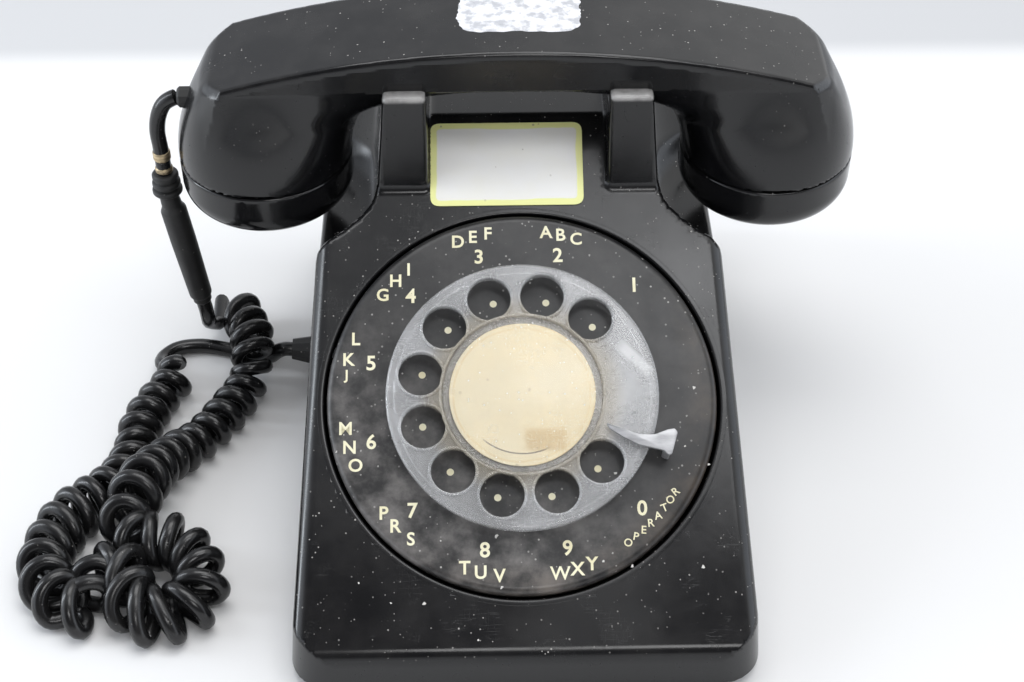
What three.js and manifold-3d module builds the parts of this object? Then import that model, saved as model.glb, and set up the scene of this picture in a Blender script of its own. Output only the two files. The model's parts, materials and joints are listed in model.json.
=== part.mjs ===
// A rotary desk telephone: moulded housing with cradle, dial, handset, hook switch, ringer and curly cord.
// Millimetres, +Z up. X points to the viewer's right, Y away from the viewer, origin under the middle.
import * as THREE from 'three';
import { mergeVertices } from 'three/addons/utils/BufferGeometryUtils.js';
import Module from 'manifold-3d';

const wasm = await Module();
wasm.setup();

// Driving dimensions of the housing
const bodyDepth = 209;
const footHalfWidth = 68;
const sideDraft = THREE.MathUtils.degToRad(5.1);
const wall = 2.6;
const housingLift = 2.6;
const frontLean = 1;
const faceFootHeight = 15.8;
const deckHeight = 101.3;
const deckDepth = 25.77;
const deckRearInset = 40.5;
const rearKneeHeight = 62;
const rearKneeInset = 12.5;
const sideEdgeRadius = 3.6;
const frontEdgeRadius = 6;
const deckEdgeRadius = 4.6;
const rearEdgeRadius = 16;
const rearKneeRadius = 40;
const planCornerRadius = 12;

// Driving dimensions of the handset
const handsetInset = 23.5;
const cupSpacing = 157;
const cupRadius = 27;
const capDepth = 16.9;
const handleRise = 33.2;
const seamDrop = 46.1;
const handleThickness = 18.5;
const handleTopHalfWidth = 16.8;
const handleUnderHalfWidth = 12;
const archRadius = 313;
const handleEndX = 93.5;
const handleEndCorner = 7;
const neckReach = 8;
const ridgeEdge = 1;
const underEdge = 3;
const capWall = 2.6;
const cupWall = 3.2;
const cupCavityHeight = 10;

// Driving dimensions of the cradle
const towerHalfWidth = 39.8;
const hornWidth = 12.6;
const frontHornRise = 20;
const rearHornRise = 22.7;
const hornTaper = 0.09;
const hornThickness = 7.2;
const hornRadius = 2.2;
const handleClearance = 0.45;
const scoopRadius = 39.5;
const scoopClearance = 10.5;
const scoopCornerRadius = 10;
const scoopFlare = 0.2;
const plungerRadius = 3.2;
const plungerBoreClearance = 0.35;
const plungerStroke = 5;
const leverReach = 16.5;

// Driving dimensions of the dial
const dialUpFace = 74.5;
const plateStand = 2.3;
const plateRadius = 55.4;
const plateEdgeRadius = 1.9;
const plateThickness = 1.8;
const plateSkirt = 5.5;
const plateBore = 9;
const faceHoleRadius = 58.2;
const wheelRadius = 39.7;
const wheelTop = 6;
const wheelThickness = 2.4;
const wheelSkirt = 1.1;
const fingerHoleRadius = 6.4;
const fingerPitchRadius = 30.2;
const fingerHoleCount = 10;
const firstHoleAngle = THREE.MathUtils.degToRad(48);
const holeStep = THREE.MathUtils.degToRad(30);
const holeRimWidth = 0.85;
const holeRimHeight = 0.6;
const cardRadius = 21.2;
const cardRingRadius = 24.2;
const cardRingHeight = 0.9;
const cardThickness = 0.6;
const windowThickness = 0.8;
const windowDome = 1.6;
const shaftRadius = 3;
const shaftClearance = 0.3;
const hubRadius = 6.4;
const stopAngle = THREE.MathUtils.degToRad(-15);
const stopTipRadius = 25.5;
const stopFootRadius = 45.5;
const stopThickness = 1.3;
const stopRise = 1;
const stopHalfWidth = 4.6;
const stopSweep = 7;

// Driving dimensions of the dial train, measured down from the plate's top
const frameDepth = 8.5;
const frameThickness = 1.6;
const frameRadius = 46;
const rearPlateInset = 3;
const pillarInset = 6;
const rearPlateDepth = 22;
const rearPlateThickness = 1.6;
const gearModule = 1.35;
const mainTeeth = 32;
const pulseTeeth = 8;
const gearThickness = 2;
const mainGearDepth = 13.5;
const stepGearModule = 1.05;
const stepTeeth = 24;
const governorTeeth = 8;
const stepGearDepth = 17.5;
const gearWindowRadius = 4.2;
const gearWindowCircle = 12.5;
const camLength = 4;
const camWidth = 2.6;
const weightLength = 4.2;
const weightWidth = 1.6;
const weightThickness = 1.2;
const weightGap = 0.8;

// Driving dimensions of the base and what it carries
const footHeight = 3.7;
const footRadius = 7;
const footInsetX = 17;
const footInsetY = 19;
const sheet = 1.5;
const seat = 0.3;
const trayGap = 0.8;
const trayFlange = 7;
const screwRadius = 2;
const screwHeadRadius = 4.2;
const screwHeadHeight = 2;
const bossRadius = 5.2;
const bossInset = 16;

// Driving dimensions of the ringer
const gongSideRoom = 10;
const gongHeight = 13;
const gongWall = 1.6;
const gongGap = 8;
const gongInset = 52.5;
const gongHeadroom = 11.4;
const coilRadius = 8.5;
const spoolRadius = 9.5;
const coilHeadroom = 5.4;
const coilSpacing = 26;
const clapperReach = 25;
const clapperBallRadius = 2.6;

// Driving dimensions of the cord
const wireDiameter = 4.3;
const curlDiameter = 12.8;
const sleeveDiameter = 8.4;
const collarDiameter = 5.6;
const grommetDiameter = 9.6;

// Cord exits: the gland on the housing's left side, the line inlet at the back, the bushing in the handset
const cordExitY = 31.6;
const cordExitZ = 8.8;
const glandRadius = 4.4;
const glandLip = 1.6;
const inletX = 22;
const inletZ = 13;
const inletRadius = 4.5;
const inletBore = 2.4;
const bushingRise = 19.1;
const bushingRadius = 3.4;
const bushingLength = 8;
const bushingReach = 2.6;
const bushingTaper = 0.8;

const overrun = 4;
const roundSegments = 24;
const smallSegments = 10;

const rearY = bodyDepth / 2;
const frontY = -rearY;
const faceFootY = frontY + frontLean;
const deckRearY = rearY - deckRearInset;
const deckFrontY = deckRearY - deckDepth;
const handsetY = deckRearY - handsetInset;
const faceSlope = Math.atan2(deckHeight - faceFootHeight, deckFrontY - faceFootY);
const frontSlope = frontLean / (faceFootHeight - housingLift);
const rearSlope = rearKneeInset / (rearKneeHeight - housingLift);
const faceZ = (y) => faceFootHeight + (y - faceFootY) * Math.tan(faceSlope);
const handleTop = deckHeight + handleRise;
const seamHeight = handleTop - seamDrop;
const frontHornTop = deckHeight + frontHornRise;
const rearHornTop = deckHeight + rearHornRise;
const scoopFloor = seamHeight - capDepth - scoopClearance;
const cupX = cupSpacing / 2;
const halfWidthAt = (z) => footHalfWidth - (z - housingLift) * Math.tan(sideDraft);
const handleTopAt = (x) => handleTop - archRadius + Math.sqrt(archRadius ** 2 - x ** 2);
const saddleX = towerHalfWidth - hornWidth / 2;
const saddleHeight = handleTopAt(towerHalfWidth) - handleThickness - 2 * handleClearance;
const towerSpread = (z) => hornTaper * Math.max(frontHornTop - z, 0);

// How far the cup stands out from its centre at an angle: round at the seam, squared off under the back
const endHeight = handleTopAt(handleEndX);
function cupReach(angle, z) {
  const rise = Math.min(Math.max((z - seamHeight) / (endHeight - seamHeight), 0), 1) ** 2;
  const across = Math.cos(angle);
  const along = Math.abs(Math.sin(angle));
  const end = across > 0 ? handleEndX - cupX : cupRadius + neckReach;
  const corner = across > 0 ? handleEndCorner : 0;
  const toEnd = end / Math.max(Math.abs(across), 1e-6);
  const toSide = handleTopHalfWidth / Math.max(along, 1e-6);
  const cornerX = end - corner;
  const cornerY = handleTopHalfWidth - corner;
  const inward = Math.abs(across) * cornerX + along * cornerY;
  const toCorner = inward + Math.sqrt(Math.max(inward ** 2 - cornerX ** 2 - cornerY ** 2 + corner ** 2, 0));
  const atCorner = toCorner * Math.abs(across) > cornerX && toCorner * along > cornerY;
  return (1 - rise) * cupRadius + rise * (atCorner ? toCorner : Math.min(toEnd, toSide));
}
const bushingZ = seamHeight + bushingRise;
const bushingX = cupX + cupReach(0, bushingZ);

const finishes = {
  blackPlastic: { color: 0x0c0c0d, roughness: 0.22, metalness: 0 },
  clearPlastic: { color: 0xd9dcda, roughness: 0.1, metalness: 0, transparent: true, opacity: 0.35 },
  card: { color: 0xe9dcae, roughness: 0.6, metalness: 0 },
  label: { color: 0xf5f0dc, roughness: 0.5, metalness: 0 },
  steel: { color: 0x9a9c9f, roughness: 0.4, metalness: 0.9 },
  brass: { color: 0xb8964f, roughness: 0.35, metalness: 0.9 },
  rubber: { color: 0x151515, roughness: 0.7, metalness: 0 },
  copper: { color: 0x8a4a2a, roughness: 0.5, metalness: 0.3 },
  phenolic: { color: 0x3a2418, roughness: 0.6, metalness: 0 },
};

// Booleans between closed geometries
function toSolid(geometry) {
  const bare = geometry.clone();
  bare.deleteAttribute('normal');
  bare.deleteAttribute('uv');
  const merged = mergeVertices(bare, 1e-4);
  return new wasm.Manifold(new wasm.Mesh({
    numProp: 3,
    vertProperties: new Float32Array(merged.attributes.position.array),
    triVerts: new Uint32Array(merged.index.array),
  }));
}

function toGeometry(solid) {
  const mesh = solid.getMesh();
  const geometry = new THREE.BufferGeometry();
  geometry.setAttribute('position', new THREE.BufferAttribute(mesh.vertProperties, 3));
  geometry.setIndex(new THREE.BufferAttribute(mesh.triVerts, 1));
  geometry.computeVertexNormals();
  return geometry;
}

function join(...pieces) {
  return toGeometry(pieces.map(toSolid).reduce((sum, piece) => sum.add(piece)));
}

function cut(piece, ...tools) {
  return toGeometry(tools.map(toSolid).reduce((rest, tool) => rest.subtract(tool), toSolid(piece)));
}

function common(piece, other) {
  return toGeometry(toSolid(piece).intersect(toSolid(other)));
}

// Basic shapes, each placed as it is made
function moved(geometry, x, y, z) {
  return geometry.clone().translate(x, y, z);
}

function turned(geometry, axis, angle) {
  return geometry.clone().applyMatrix4(new THREE.Matrix4().makeRotationAxis(axis, angle));
}

const xAxis = new THREE.Vector3(1, 0, 0);
const yAxis = new THREE.Vector3(0, 1, 0);
const zAxis = new THREE.Vector3(0, 0, 1);

// A copy on the other side of X, with its faces turned round to point out again
function mirrored(geometry) {
  const copy = geometry.index ? geometry.toNonIndexed() : geometry.clone();
  const { array } = copy.attributes.position;
  for (let corner = 0; corner < array.length; corner += 9) {
    for (let axis = 0; axis < 3; axis += 1) {
      const sign = axis === 0 ? -1 : 1;
      const [first, second, third] = [0, 3, 6].map((step) => sign * array[corner + step + axis]);
      array[corner + axis] = first;
      array[corner + axis + 3] = third;
      array[corner + axis + 6] = second;
    }
  }
  copy.computeVertexNormals();
  return copy;
}

function block(x0, x1, y0, y1, z0, z1) {
  const box = new THREE.BoxGeometry(x1 - x0, y1 - y0, z1 - z0);
  return box.translate((x0 + x1) / 2, (y0 + y1) / 2, (z0 + z1) / 2);
}

function rod(radius, z0, z1, x = 0, y = 0, segments = smallSegments) {
  const cylinder = new THREE.CylinderGeometry(radius, radius, z1 - z0, segments);
  return cylinder.rotateX(Math.PI / 2).translate(x, y, (z0 + z1) / 2);
}

// A turned piece: the profile is a list of [radius, height], led round in either sense
function spun(profile, segments = roundSegments) {
  const points = profile.map(([r, h]) => new THREE.Vector2(r, h));
  if (THREE.ShapeUtils.isClockWise(points)) {
    points.reverse();
  }
  return new THREE.LatheGeometry(points, segments).rotateX(Math.PI / 2);
}

function ring(inner, outer, z0, z1, segments = roundSegments) {
  return spun([[inner, z0], [outer, z0], [outer, z1], [inner, z1], [inner, z0]], segments);
}

// An outline with rounded corners: each corner is [a, b, radius]
function rounded(corners, steps = 3) {
  const points = [];
  corners.forEach(([a, b, radius], i) => {
    const here = new THREE.Vector2(a, b);
    const before = new THREE.Vector2(...corners.at(i - 1).slice(0, 2)).sub(here);
    const after = new THREE.Vector2(...corners[(i + 1) % corners.length].slice(0, 2)).sub(here);
    const half = Math.acos(before.dot(after) / before.length() / after.length()) / 2;
    const reach = Math.min(radius / Math.tan(half), before.length() / 2, after.length() / 2);
    if (!radius || reach <= 0) {
      points.push(here);
      return;
    }
    const start = here.clone().add(before.setLength(reach));
    const end = here.clone().add(after.setLength(reach));
    const arc = new THREE.QuadraticBezierCurve(start, here, end);
    points.push(...arc.getPoints(steps));
  });
  return points;
}

// The same outline moved inwards by one distance on every edge, for a counter-clockwise outline
function inset(corners, distance) {
  const edges = corners.map(([a, b], i) => {
    const [c, d] = corners[(i + 1) % corners.length];
    const run = new THREE.Vector2(c - a, d - b).normalize();
    return { a: a - run.y * distance, b: b + run.x * distance, run };
  });
  return corners.map(([, , radius], i) => {
    const one = edges.at(i - 1);
    const two = edges[i];
    const cross = one.run.x * two.run.y - one.run.y * two.run.x;
    const along = ((two.a - one.a) * two.run.y - (two.b - one.b) * two.run.x) / cross;
    return [one.a + one.run.x * along, one.b + one.run.y * along, Math.max(radius - distance, 0)];
  });
}

function slab(points, height, options = {}) {
  const shape = new THREE.Shape(points.map((p) => new THREE.Vector2(p.x ?? p[0], p.y ?? p[1])));
  return new THREE.ExtrudeGeometry(shape, { depth: height, bevelEnabled: false, ...options });
}

// A side profile in Y and Z, as wide as X runs from x0 to x1, with its side edges rounded
function sideways(points, x0, x1, edge = 0, edgeSteps = 2) {
  const bevel = edge > 0
    ? {
      bevelEnabled: true,
      bevelSize: edge,
      bevelThickness: edge,
      bevelOffset: -edge,
      bevelSegments: edgeSteps,
    }
    : {};
  const solid = slab(points, x1 - x0 - 2 * edge, bevel);
  const basis = new THREE.Matrix4().makeBasis(yAxis, zAxis, xAxis);
  return solid.applyMatrix4(basis).translate(x0 + edge, 0, 0);
}

function bend(geometry, change) {
  const copy = geometry.clone();
  const position = copy.attributes.position;
  const point = new THREE.Vector3();
  for (let i = 0; i < position.count; i += 1) {
    point.fromBufferAttribute(position, i);
    change(point);
    position.setXYZ(i, point.x, point.y, point.z);
  }
  copy.computeVertexNormals();
  return copy;
}

// A closed body through rings that have equally many points, each ring counter-clockwise seen from the last
function lofted(rings) {
  const sides = rings[0].length;
  const faces = [];
  for (let level = 0; level < rings.length - 1; level += 1) {
    for (let i = 0; i < sides; i += 1) {
      const here = level * sides + i;
      const next = level * sides + ((i + 1) % sides);
      faces.push(here, next, next + sides, here, next + sides, here + sides);
    }
  }
  const last = (rings.length - 1) * sides;
  for (let i = 1; i < sides - 1; i += 1) {
    faces.push(0, i + 1, i, last, last + i, last + i + 1);
  }
  const geometry = new THREE.BufferGeometry();
  geometry.setAttribute('position', new THREE.Float32BufferAttribute(rings.flat(2), 3));
  geometry.setIndex(faces);
  geometry.computeVertexNormals();
  return geometry;
}

// A cord's solid: a round section led along a smooth curve through the points
function tube(points, diameter, steps, sides = 8) {
  const curve = new THREE.CatmullRomCurve3(points.map((p) => new THREE.Vector3(...p)), false, 'centripetal');
  const section = new THREE.Shape();
  section.absarc(0, 0, diameter / 2, 0, 2 * Math.PI);
  return new THREE.ExtrudeGeometry(section, { steps, extrudePath: curve, curveSegments: sides / 2 });
}

// Gear outline with straight-flanked teeth and room to run
function gear(teeth, size, z0, z1) {
  const pitch = (teeth * size) / 2;
  const toothShares = [[-0.31, -1.15], [-0.1, 0.85], [0.1, 0.85], [0.31, -1.15]];
  const points = [];
  for (let tooth = 0; tooth < teeth; tooth += 1) {
    for (const [turnShare, riseShare] of toothShares) {
      const angle = ((tooth + turnShare) * 2 * Math.PI) / teeth;
      const radius = pitch + riseShare * size;
      points.push([radius * Math.cos(angle), radius * Math.sin(angle)]);
    }
  }
  return slab(points, z1 - z0).translate(0, 0, z0);
}

const telephone = new THREE.Group();

// The dial's own frame: its origin on the number plate's top, +Z out of the face
const dial = new THREE.Group();
const faceUp = new THREE.Vector3(0, Math.cos(faceSlope), Math.sin(faceSlope));
const faceOut = new THREE.Vector3(0, -Math.sin(faceSlope), Math.cos(faceSlope));
dial.position.set(0, faceFootY, faceFootHeight);
dial.position.addScaledVector(faceUp, dialUpFace).addScaledVector(faceOut, plateStand);
dial.rotation.x = faceSlope;
dial.updateMatrix();
telephone.add(dial);
const onDial = (geometry) => geometry.clone().applyMatrix4(dial.matrix);

function add(name, geometry, finish, parent = telephone) {
  const mesh = new THREE.Mesh(geometry, new THREE.MeshStandardMaterial(finishes[finish]));
  mesh.name = name;
  parent.add(mesh);
  return mesh;
}

// Housing
function bodyProfile(foot) {
  const drop = housingLift - foot;
  return [
    [frontY - drop * frontSlope, foot, 0],
    [rearY + drop * rearSlope, foot, 0],
    [rearY - rearKneeInset, rearKneeHeight, rearKneeRadius],
    [deckRearY, deckHeight, rearEdgeRadius],
    [deckFrontY, deckHeight, deckEdgeRadius],
    [faceFootY, faceFootHeight, frontEdgeRadius],
  ];
}

function bodyForm(thickness) {
  const foot = thickness > 0 ? housingLift - overrun - thickness : housingLift;
  const corners = inset(bodyProfile(foot), thickness);
  const half = footHalfWidth - thickness;
  const edge = thickness > 0 ? 0 : sideEdgeRadius;
  const straight = sideways(rounded(corners), -half, half, edge);
  const drafted = bend(straight, (p) => {
    p.x *= (halfWidthAt(p.z) - thickness) / half;
  });
  const radius = planCornerRadius - thickness;
  const plan = rounded([
    [-half, frontY + thickness, radius],
    [half, frontY + thickness, radius],
    [half, rearY - thickness, radius],
    [-half, rearY - thickness, radius],
  ], 4);
  const stem = slab(plan, deckHeight + 2 * overrun).translate(0, 0, housingLift - overrun);
  return common(drafted, stem);
}

function scoop(side, thickness) {
  const reach = scoopRadius + thickness;
  const floor = scoopFloor - thickness;
  const corner = scoopCornerRadius;
  const top = handleTop;
  const bowl = spun([
    [0, floor],
    [reach - corner, floor],
    [reach - corner * 0.3, floor + corner * 0.3],
    [reach, floor + corner],
    [reach + (top - floor - corner) * scoopFlare, top],
    [0, top],
  ], roundSegments);
  const inner = towerHalfWidth - thickness;
  const outer = cupX + 2 * scoopRadius;
  const half = 2 * scoopRadius;
  const upright = block(inner, outer, handsetY - half, handsetY + half, floor - overrun, frontHornTop);
  const crown = block(inner, outer, handsetY - half, handsetY + half, frontHornTop, top + overrun);
  const keep = join(crown, bend(upright, (p) => {
    p.x += p.x < outer ? towerSpread(p.z) : 0;
  }));
  const right = common(moved(bowl, cupX, handsetY, 0), keep);
  return side > 0 ? right : mirrored(right);
}

// One cradle horn pair: front ear, saddle and rear ear in a single profile
function horn(side) {
  const lean = (handleTopHalfWidth - handleUnderHalfWidth) / handleThickness;
  const under = handleTopAt(towerHalfWidth) - handleThickness;
  const reachAt = (z) => handleUnderHalfWidth + (z - under) * lean + 2 * handleClearance;
  const frontIn = handsetY - reachAt(frontHornTop);
  const rearIn = handsetY + reachAt(rearHornTop);
  const foot = deckHeight - wall - sheet;
  const frontFoot = frontIn - hornThickness - frontLean;
  const profile = [
    [frontFoot, faceZ(frontFoot) - wall, 0],
    [frontFoot + wall, faceZ(frontFoot) - wall, 0],
    [deckFrontY - wall, foot, 0],
    [rearIn + hornThickness + frontLean, foot, 0],
    [rearIn + hornThickness, rearHornTop, hornRadius],
    [rearIn, rearHornTop, hornRadius],
    [handsetY + reachAt(saddleHeight), saddleHeight, hornRadius],
    [handsetY - reachAt(saddleHeight), saddleHeight, hornRadius],
    [frontIn, frontHornTop, hornRadius],
    [frontIn - hornThickness, frontHornTop, hornRadius],
  ];
  const inner = towerHalfWidth - hornWidth;
  const straight = sideways(rounded(profile, 3), inner, towerHalfWidth, hornRadius / 2, 2);
  const right = bend(straight, (p) => {
    p.x += ((p.x - inner) / hornWidth) * towerSpread(p.z);
  });
  return side > 0 ? right : mirrored(right);
}

const bossTop = (y) => (y < 0 ? faceZ(y) : rearKneeHeight) - wall / 2;
const bossYs = [frontY + bossInset, rearY - bossInset];
const trayFloor = footHeight + seat;
const trayTop = trayFloor + sheet;

// Shapes made round +Z, set square on the outside of the left wall or the rear wall
const cordExitX = -halfWidthAt(cordExitZ);
const throughSide = (geometry) => (
  moved(turned(geometry, yAxis, sideDraft - Math.PI / 2), cordExitX, cordExitY, cordExitZ)
);
const inletY = rearY - (inletZ - housingLift) * rearSlope;
const throughRear = (geometry) => (
  moved(turned(geometry, xAxis, Math.atan(rearSlope) - Math.PI / 2), inletX, inletY, inletZ)
);

function makeHousing() {
  const sides = [-1, 1];
  const skin = cut(bodyForm(0), ...sides.map((side) => scoop(side, 0)));
  const hollow = cut(bodyForm(wall), ...sides.map((side) => scoop(side, wall)));
  const bosses = bossYs.map((y) => common(
    rod(bossRadius, trayTop + seat, bossTop(y) + wall, 0, y),
    bodyForm(0),
  ));
  const shell = join(cut(skin, hollow), ...bosses, ...sides.map(horn));
  const face = onDial(rod(faceHoleRadius, -plateStand - wall - overrun, overrun, 0, 0, 2 * roundSegments));
  const screwBores = bossYs.map((y) => rod(screwRadius + seat, 0, trayTop + bossInset / 2 + seat, 0, y));
  const bores = sides.map((side) => rod(
    plungerRadius + plungerBoreClearance,
    deckHeight - 2 * wall - overrun,
    rearHornTop + overrun,
    side * saddleX,
    handsetY,
    smallSegments,
  ));
  return cut(
    shell,
    face,
    ...screwBores,
    ...bores,
    throughSide(rod(glandRadius + seat, -overrun, overrun)),
    throughRear(rod(inletRadius + seat, -overrun, overrun)),
  );
}

add('housing', makeHousing(), 'blackPlastic');

// Base tray, feet and screws
function makeTray() {
  const half = footHalfWidth - wall - trayGap;
  const end = rearY - wall - trayGap;
  const outline = (gap) => rounded([
    [-half + gap, -end + gap + frontLean, planCornerRadius - wall - gap],
    [half - gap, -end + gap + frontLean, planCornerRadius - wall - gap],
    [half - gap, end - gap, planCornerRadius - wall - gap],
    [-half + gap, end - gap, planCornerRadius - wall - gap],
  ], 4);
  const draft = trayFlange * Math.tan(sideDraft) * 2;
  const taper = (p) => {
    const rise = Math.max(p.z - trayFloor, 0) / trayFlange;
    p.x *= 1 - (rise * draft) / half;
    p.y *= 1 - (rise * draft) / end;
  };
  const pan = bend(slab(outline(0), trayFlange).translate(0, 0, trayFloor), taper);
  const room = bend(slab(outline(sheet), trayFlange + overrun).translate(0, 0, trayTop), taper);
  const holes = bossYs.map((y) => rod(screwRadius + seat, 0, trayTop + overrun, 0, y));
  const notchHalf = glandRadius + glandLip + seat;
  const notch = block(-half - overrun, -half + 2 * overrun, cordExitY - notchHalf, cordExitY + notchHalf,
    0, trayTop + trayFlange + overrun);
  const inletHalf = inletRadius + glandLip + seat;
  const rearNotch = block(inletX - inletHalf, inletX + inletHalf, end - 2 * overrun, end + overrun,
    trayTop, trayTop + trayFlange + overrun);
  return cut(pan, room, ...holes, notch, rearNotch);
}

add('base_plate', makeTray(), 'steel');

const footCorners = [
  ['front_left', -1, -1],
  ['front_right', 1, -1],
  ['rear_left', -1, 1],
  ['rear_right', 1, 1],
];
for (const [name, x, y] of footCorners) {
  const foot = spun([
    [0, 0],
    [footRadius - wall / 2, 0],
    [footRadius, footHeight / 3],
    [footRadius - wall / 4, footHeight],
    [0, footHeight],
  ], smallSegments);
  add(`foot_${name}`, moved(foot, x * (footHalfWidth - footInsetX), y * (rearY - footInsetY), 0), 'rubber');
}

for (const [name, y] of [['front', bossYs[0]], ['rear', bossYs[1]]]) {
  const headTop = trayFloor - seat;
  const screw = join(
    rod(screwHeadRadius, headTop - screwHeadHeight, headTop, 0, y),
    rod(screwRadius, headTop - screwHeadHeight / 2, trayTop + bossInset / 2, 0, y),
  );
  const slot = block(-screwHeadRadius, screwHeadRadius, y - seat, y + seat,
    headTop - screwHeadHeight - overrun, headTop - screwHeadHeight / 2);
  add(`housing_screw_${name}`, cut(screw, slot), 'steel');
}

// Label space on the face between the ears
const labelWidth = 46.6;
const labelHeight = 27;
const labelX = -3.4;
const labelThickness = 0.3;
const labelUpFace = 149;
const labelCorner = 3;

function makeLabel() {
  const w = labelWidth / 2;
  const h = labelHeight / 2;
  const corners = [[-w, -h], [w, -h], [w, h], [-w, h]].map(([a, b]) => [a, b, labelCorner]);
  return slab(rounded(corners, 3), labelThickness)
    .translate(labelX, labelUpFace - dialUpFace, seat / 2 - plateStand);
}

add('cradle_label', makeLabel(), 'label', dial);

// Handset
function makeStrap() {
  const steps = 20;
  const end = handleEndX - handleEndCorner - seat;
  const flankAt = (depth) => (
    handleTopHalfWidth + ((handleUnderHalfWidth - handleTopHalfWidth) * depth) / handleThickness
  );
  const half = [
    [flankAt(0) - ridgeEdge, 0],
    [flankAt(ridgeEdge), ridgeEdge],
    [flankAt(handleThickness - underEdge), handleThickness - underEdge],
    [flankAt(handleThickness) - underEdge, handleThickness],
  ];
  const section = [...half.map(([y, depth]) => [-y, depth]), ...[...half].reverse()];
  return lofted(Array.from({ length: steps + 1 }, (_, i) => {
    const x = (2 * end * i) / steps - end;
    return section.map(([y, depth]) => [x, y, handleTopAt(x) - depth]);
  }));
}

// The right cup: rings from the seam up through the back, narrowing from round to square
function makeCup() {
  const riseShares = [0, 0.2, 0.38, 0.54, 0.68, 0.8, 0.9, 1, 1.3];
  const sides = 2 * roundSegments;
  return lofted(riseShares.map((share) => {
    const z = seamHeight + share * (endHeight - seamHeight);
    return Array.from({ length: sides }, (_, i) => {
      const angle = (i * 2 * Math.PI) / sides;
      const reach = cupReach(angle, z);
      return [cupX + reach * Math.cos(angle), reach * Math.sin(angle), z];
    });
  }));
}

function makeHandle() {
  const steps = 24;
  const beyond = handleEndX + cupRadius;
  const arc = Array.from({ length: steps + 1 }, (_, i) => {
    const x = handleEndX - (2 * handleEndX * i) / steps;
    return [x, handleTopAt(x)];
  });
  const outline = [
    ...arc,
    [-beyond, endHeight],
    [-beyond, seamHeight - overrun],
    [beyond, seamHeight - overrun],
    [beyond, endHeight],
  ];
  const below = slab([...outline].reverse(), 2 * beyond).rotateX(Math.PI / 2).translate(0, beyond, 0);
  const cavityTop = seamHeight + cupCavityHeight;
  const cavity = rod(cupRadius - cupWall, seamHeight - overrun, cavityTop, 0, 0, roundSegments);
  const cups = [makeCup(), mirrored(makeCup())].map((cup) => common(cup, below));
  const body = join(makeStrap(), ...cups);
  const bushingBore = moved(turned(rod(bushingRadius + seat, -bushingLength, overrun), yAxis, -Math.PI / 2),
    -bushingX, 0, bushingZ);
  return moved(cut(body, moved(cavity, cupX, 0, 0), moved(cavity, -cupX, 0, 0), bushingBore), 0, handsetY, 0);
}

add('handset_handle', makeHandle(), 'blackPlastic');

function makeCap(holeRings) {
  const top = seamHeight - seat;
  const face = seamHeight - capDepth;
  const wallRadius = cupRadius - capWall;
  const curveShares = [[1, 0.3], [0.96, 0.64], [0.83, 0.92], [0.62, 1]];
  const outer = curveShares.map(([out, down]) => [cupRadius * out, top - (top - face) * down]);
  const inner = curveShares.map(([out, down]) => [
    wallRadius * out,
    top - (top - face - capWall) * down,
  ]).reverse();
  const shell = spun([
    [0, face + capWall],
    ...inner,
    [wallRadius, top],
    [cupRadius, top],
    ...outer,
    [0, face],
  ]);
  const holes = [];
  for (const [count, radius, size] of holeRings) {
    for (let i = 0; i < count; i += 1) {
      const angle = (2 * Math.PI * i) / count;
      holes.push(rod(size, face - overrun, face + capWall + overrun / 2,
        radius * Math.cos(angle), radius * Math.sin(angle), 6));
    }
  }
  return cut(shell, ...holes);
}

const receiverHole = 1.25;
const transmitterHole = 1;
const holePitch = 3.6;
const receiverHoles = [[1, 0, receiverHole], [5, 2 * holePitch, receiverHole]];
const transmitterHoles = [
  [1, 0, transmitterHole],
  [4, holePitch, transmitterHole],
  [8, 2 * holePitch, transmitterHole],
];
add('transmitter_cap', moved(makeCap(transmitterHoles), -cupX, handsetY, 0), 'blackPlastic');
add('receiver_cap', moved(makeCap(receiverHoles), cupX, handsetY, 0), 'blackPlastic');

const unitRadius = cupRadius - cupWall - trayGap;
const unitHeight = 15;

function makeUnit(x) {
  const top = seamHeight + cupCavityHeight - seat;
  const unitShares = [[0, 1], [0.6, 1], [0.8, 0.66], [1, 0.64], [1, 0.3], [0.7, 0], [0, 0]];
  const profile = unitShares.map(([out, down]) => [unitRadius * out, top - unitHeight * down]);
  return moved(spun(profile, 18), x, handsetY, 0);
}

add('transmitter_unit', makeUnit(-cupX), 'steel');
add('receiver_unit', makeUnit(cupX), 'steel');

// Dial plate, wheel and card
function makePlate() {
  const edge = plateRadius + plateEdgeRadius;
  const bend45 = plateEdgeRadius * (1 - Math.SQRT1_2);
  const inner = edge - plateThickness;
  return spun([
    [plateBore, -plateThickness],
    [inner, -plateThickness],
    [inner, -plateSkirt],
    [edge, -plateSkirt],
    [edge, -plateEdgeRadius],
    [edge - bend45, -bend45],
    [plateRadius, 0],
    [plateBore, 0],
    [plateBore, -plateThickness],
  ], 40);
}

add('number_plate', makePlate(), 'blackPlastic', dial);

const holeAngles = Array.from({ length: fingerHoleCount }, (_, i) => firstHoleAngle + i * holeStep);
const wheelFoot = wheelTop - wheelThickness;
const cardSeat = wheelTop - wheelThickness / 2;

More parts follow.
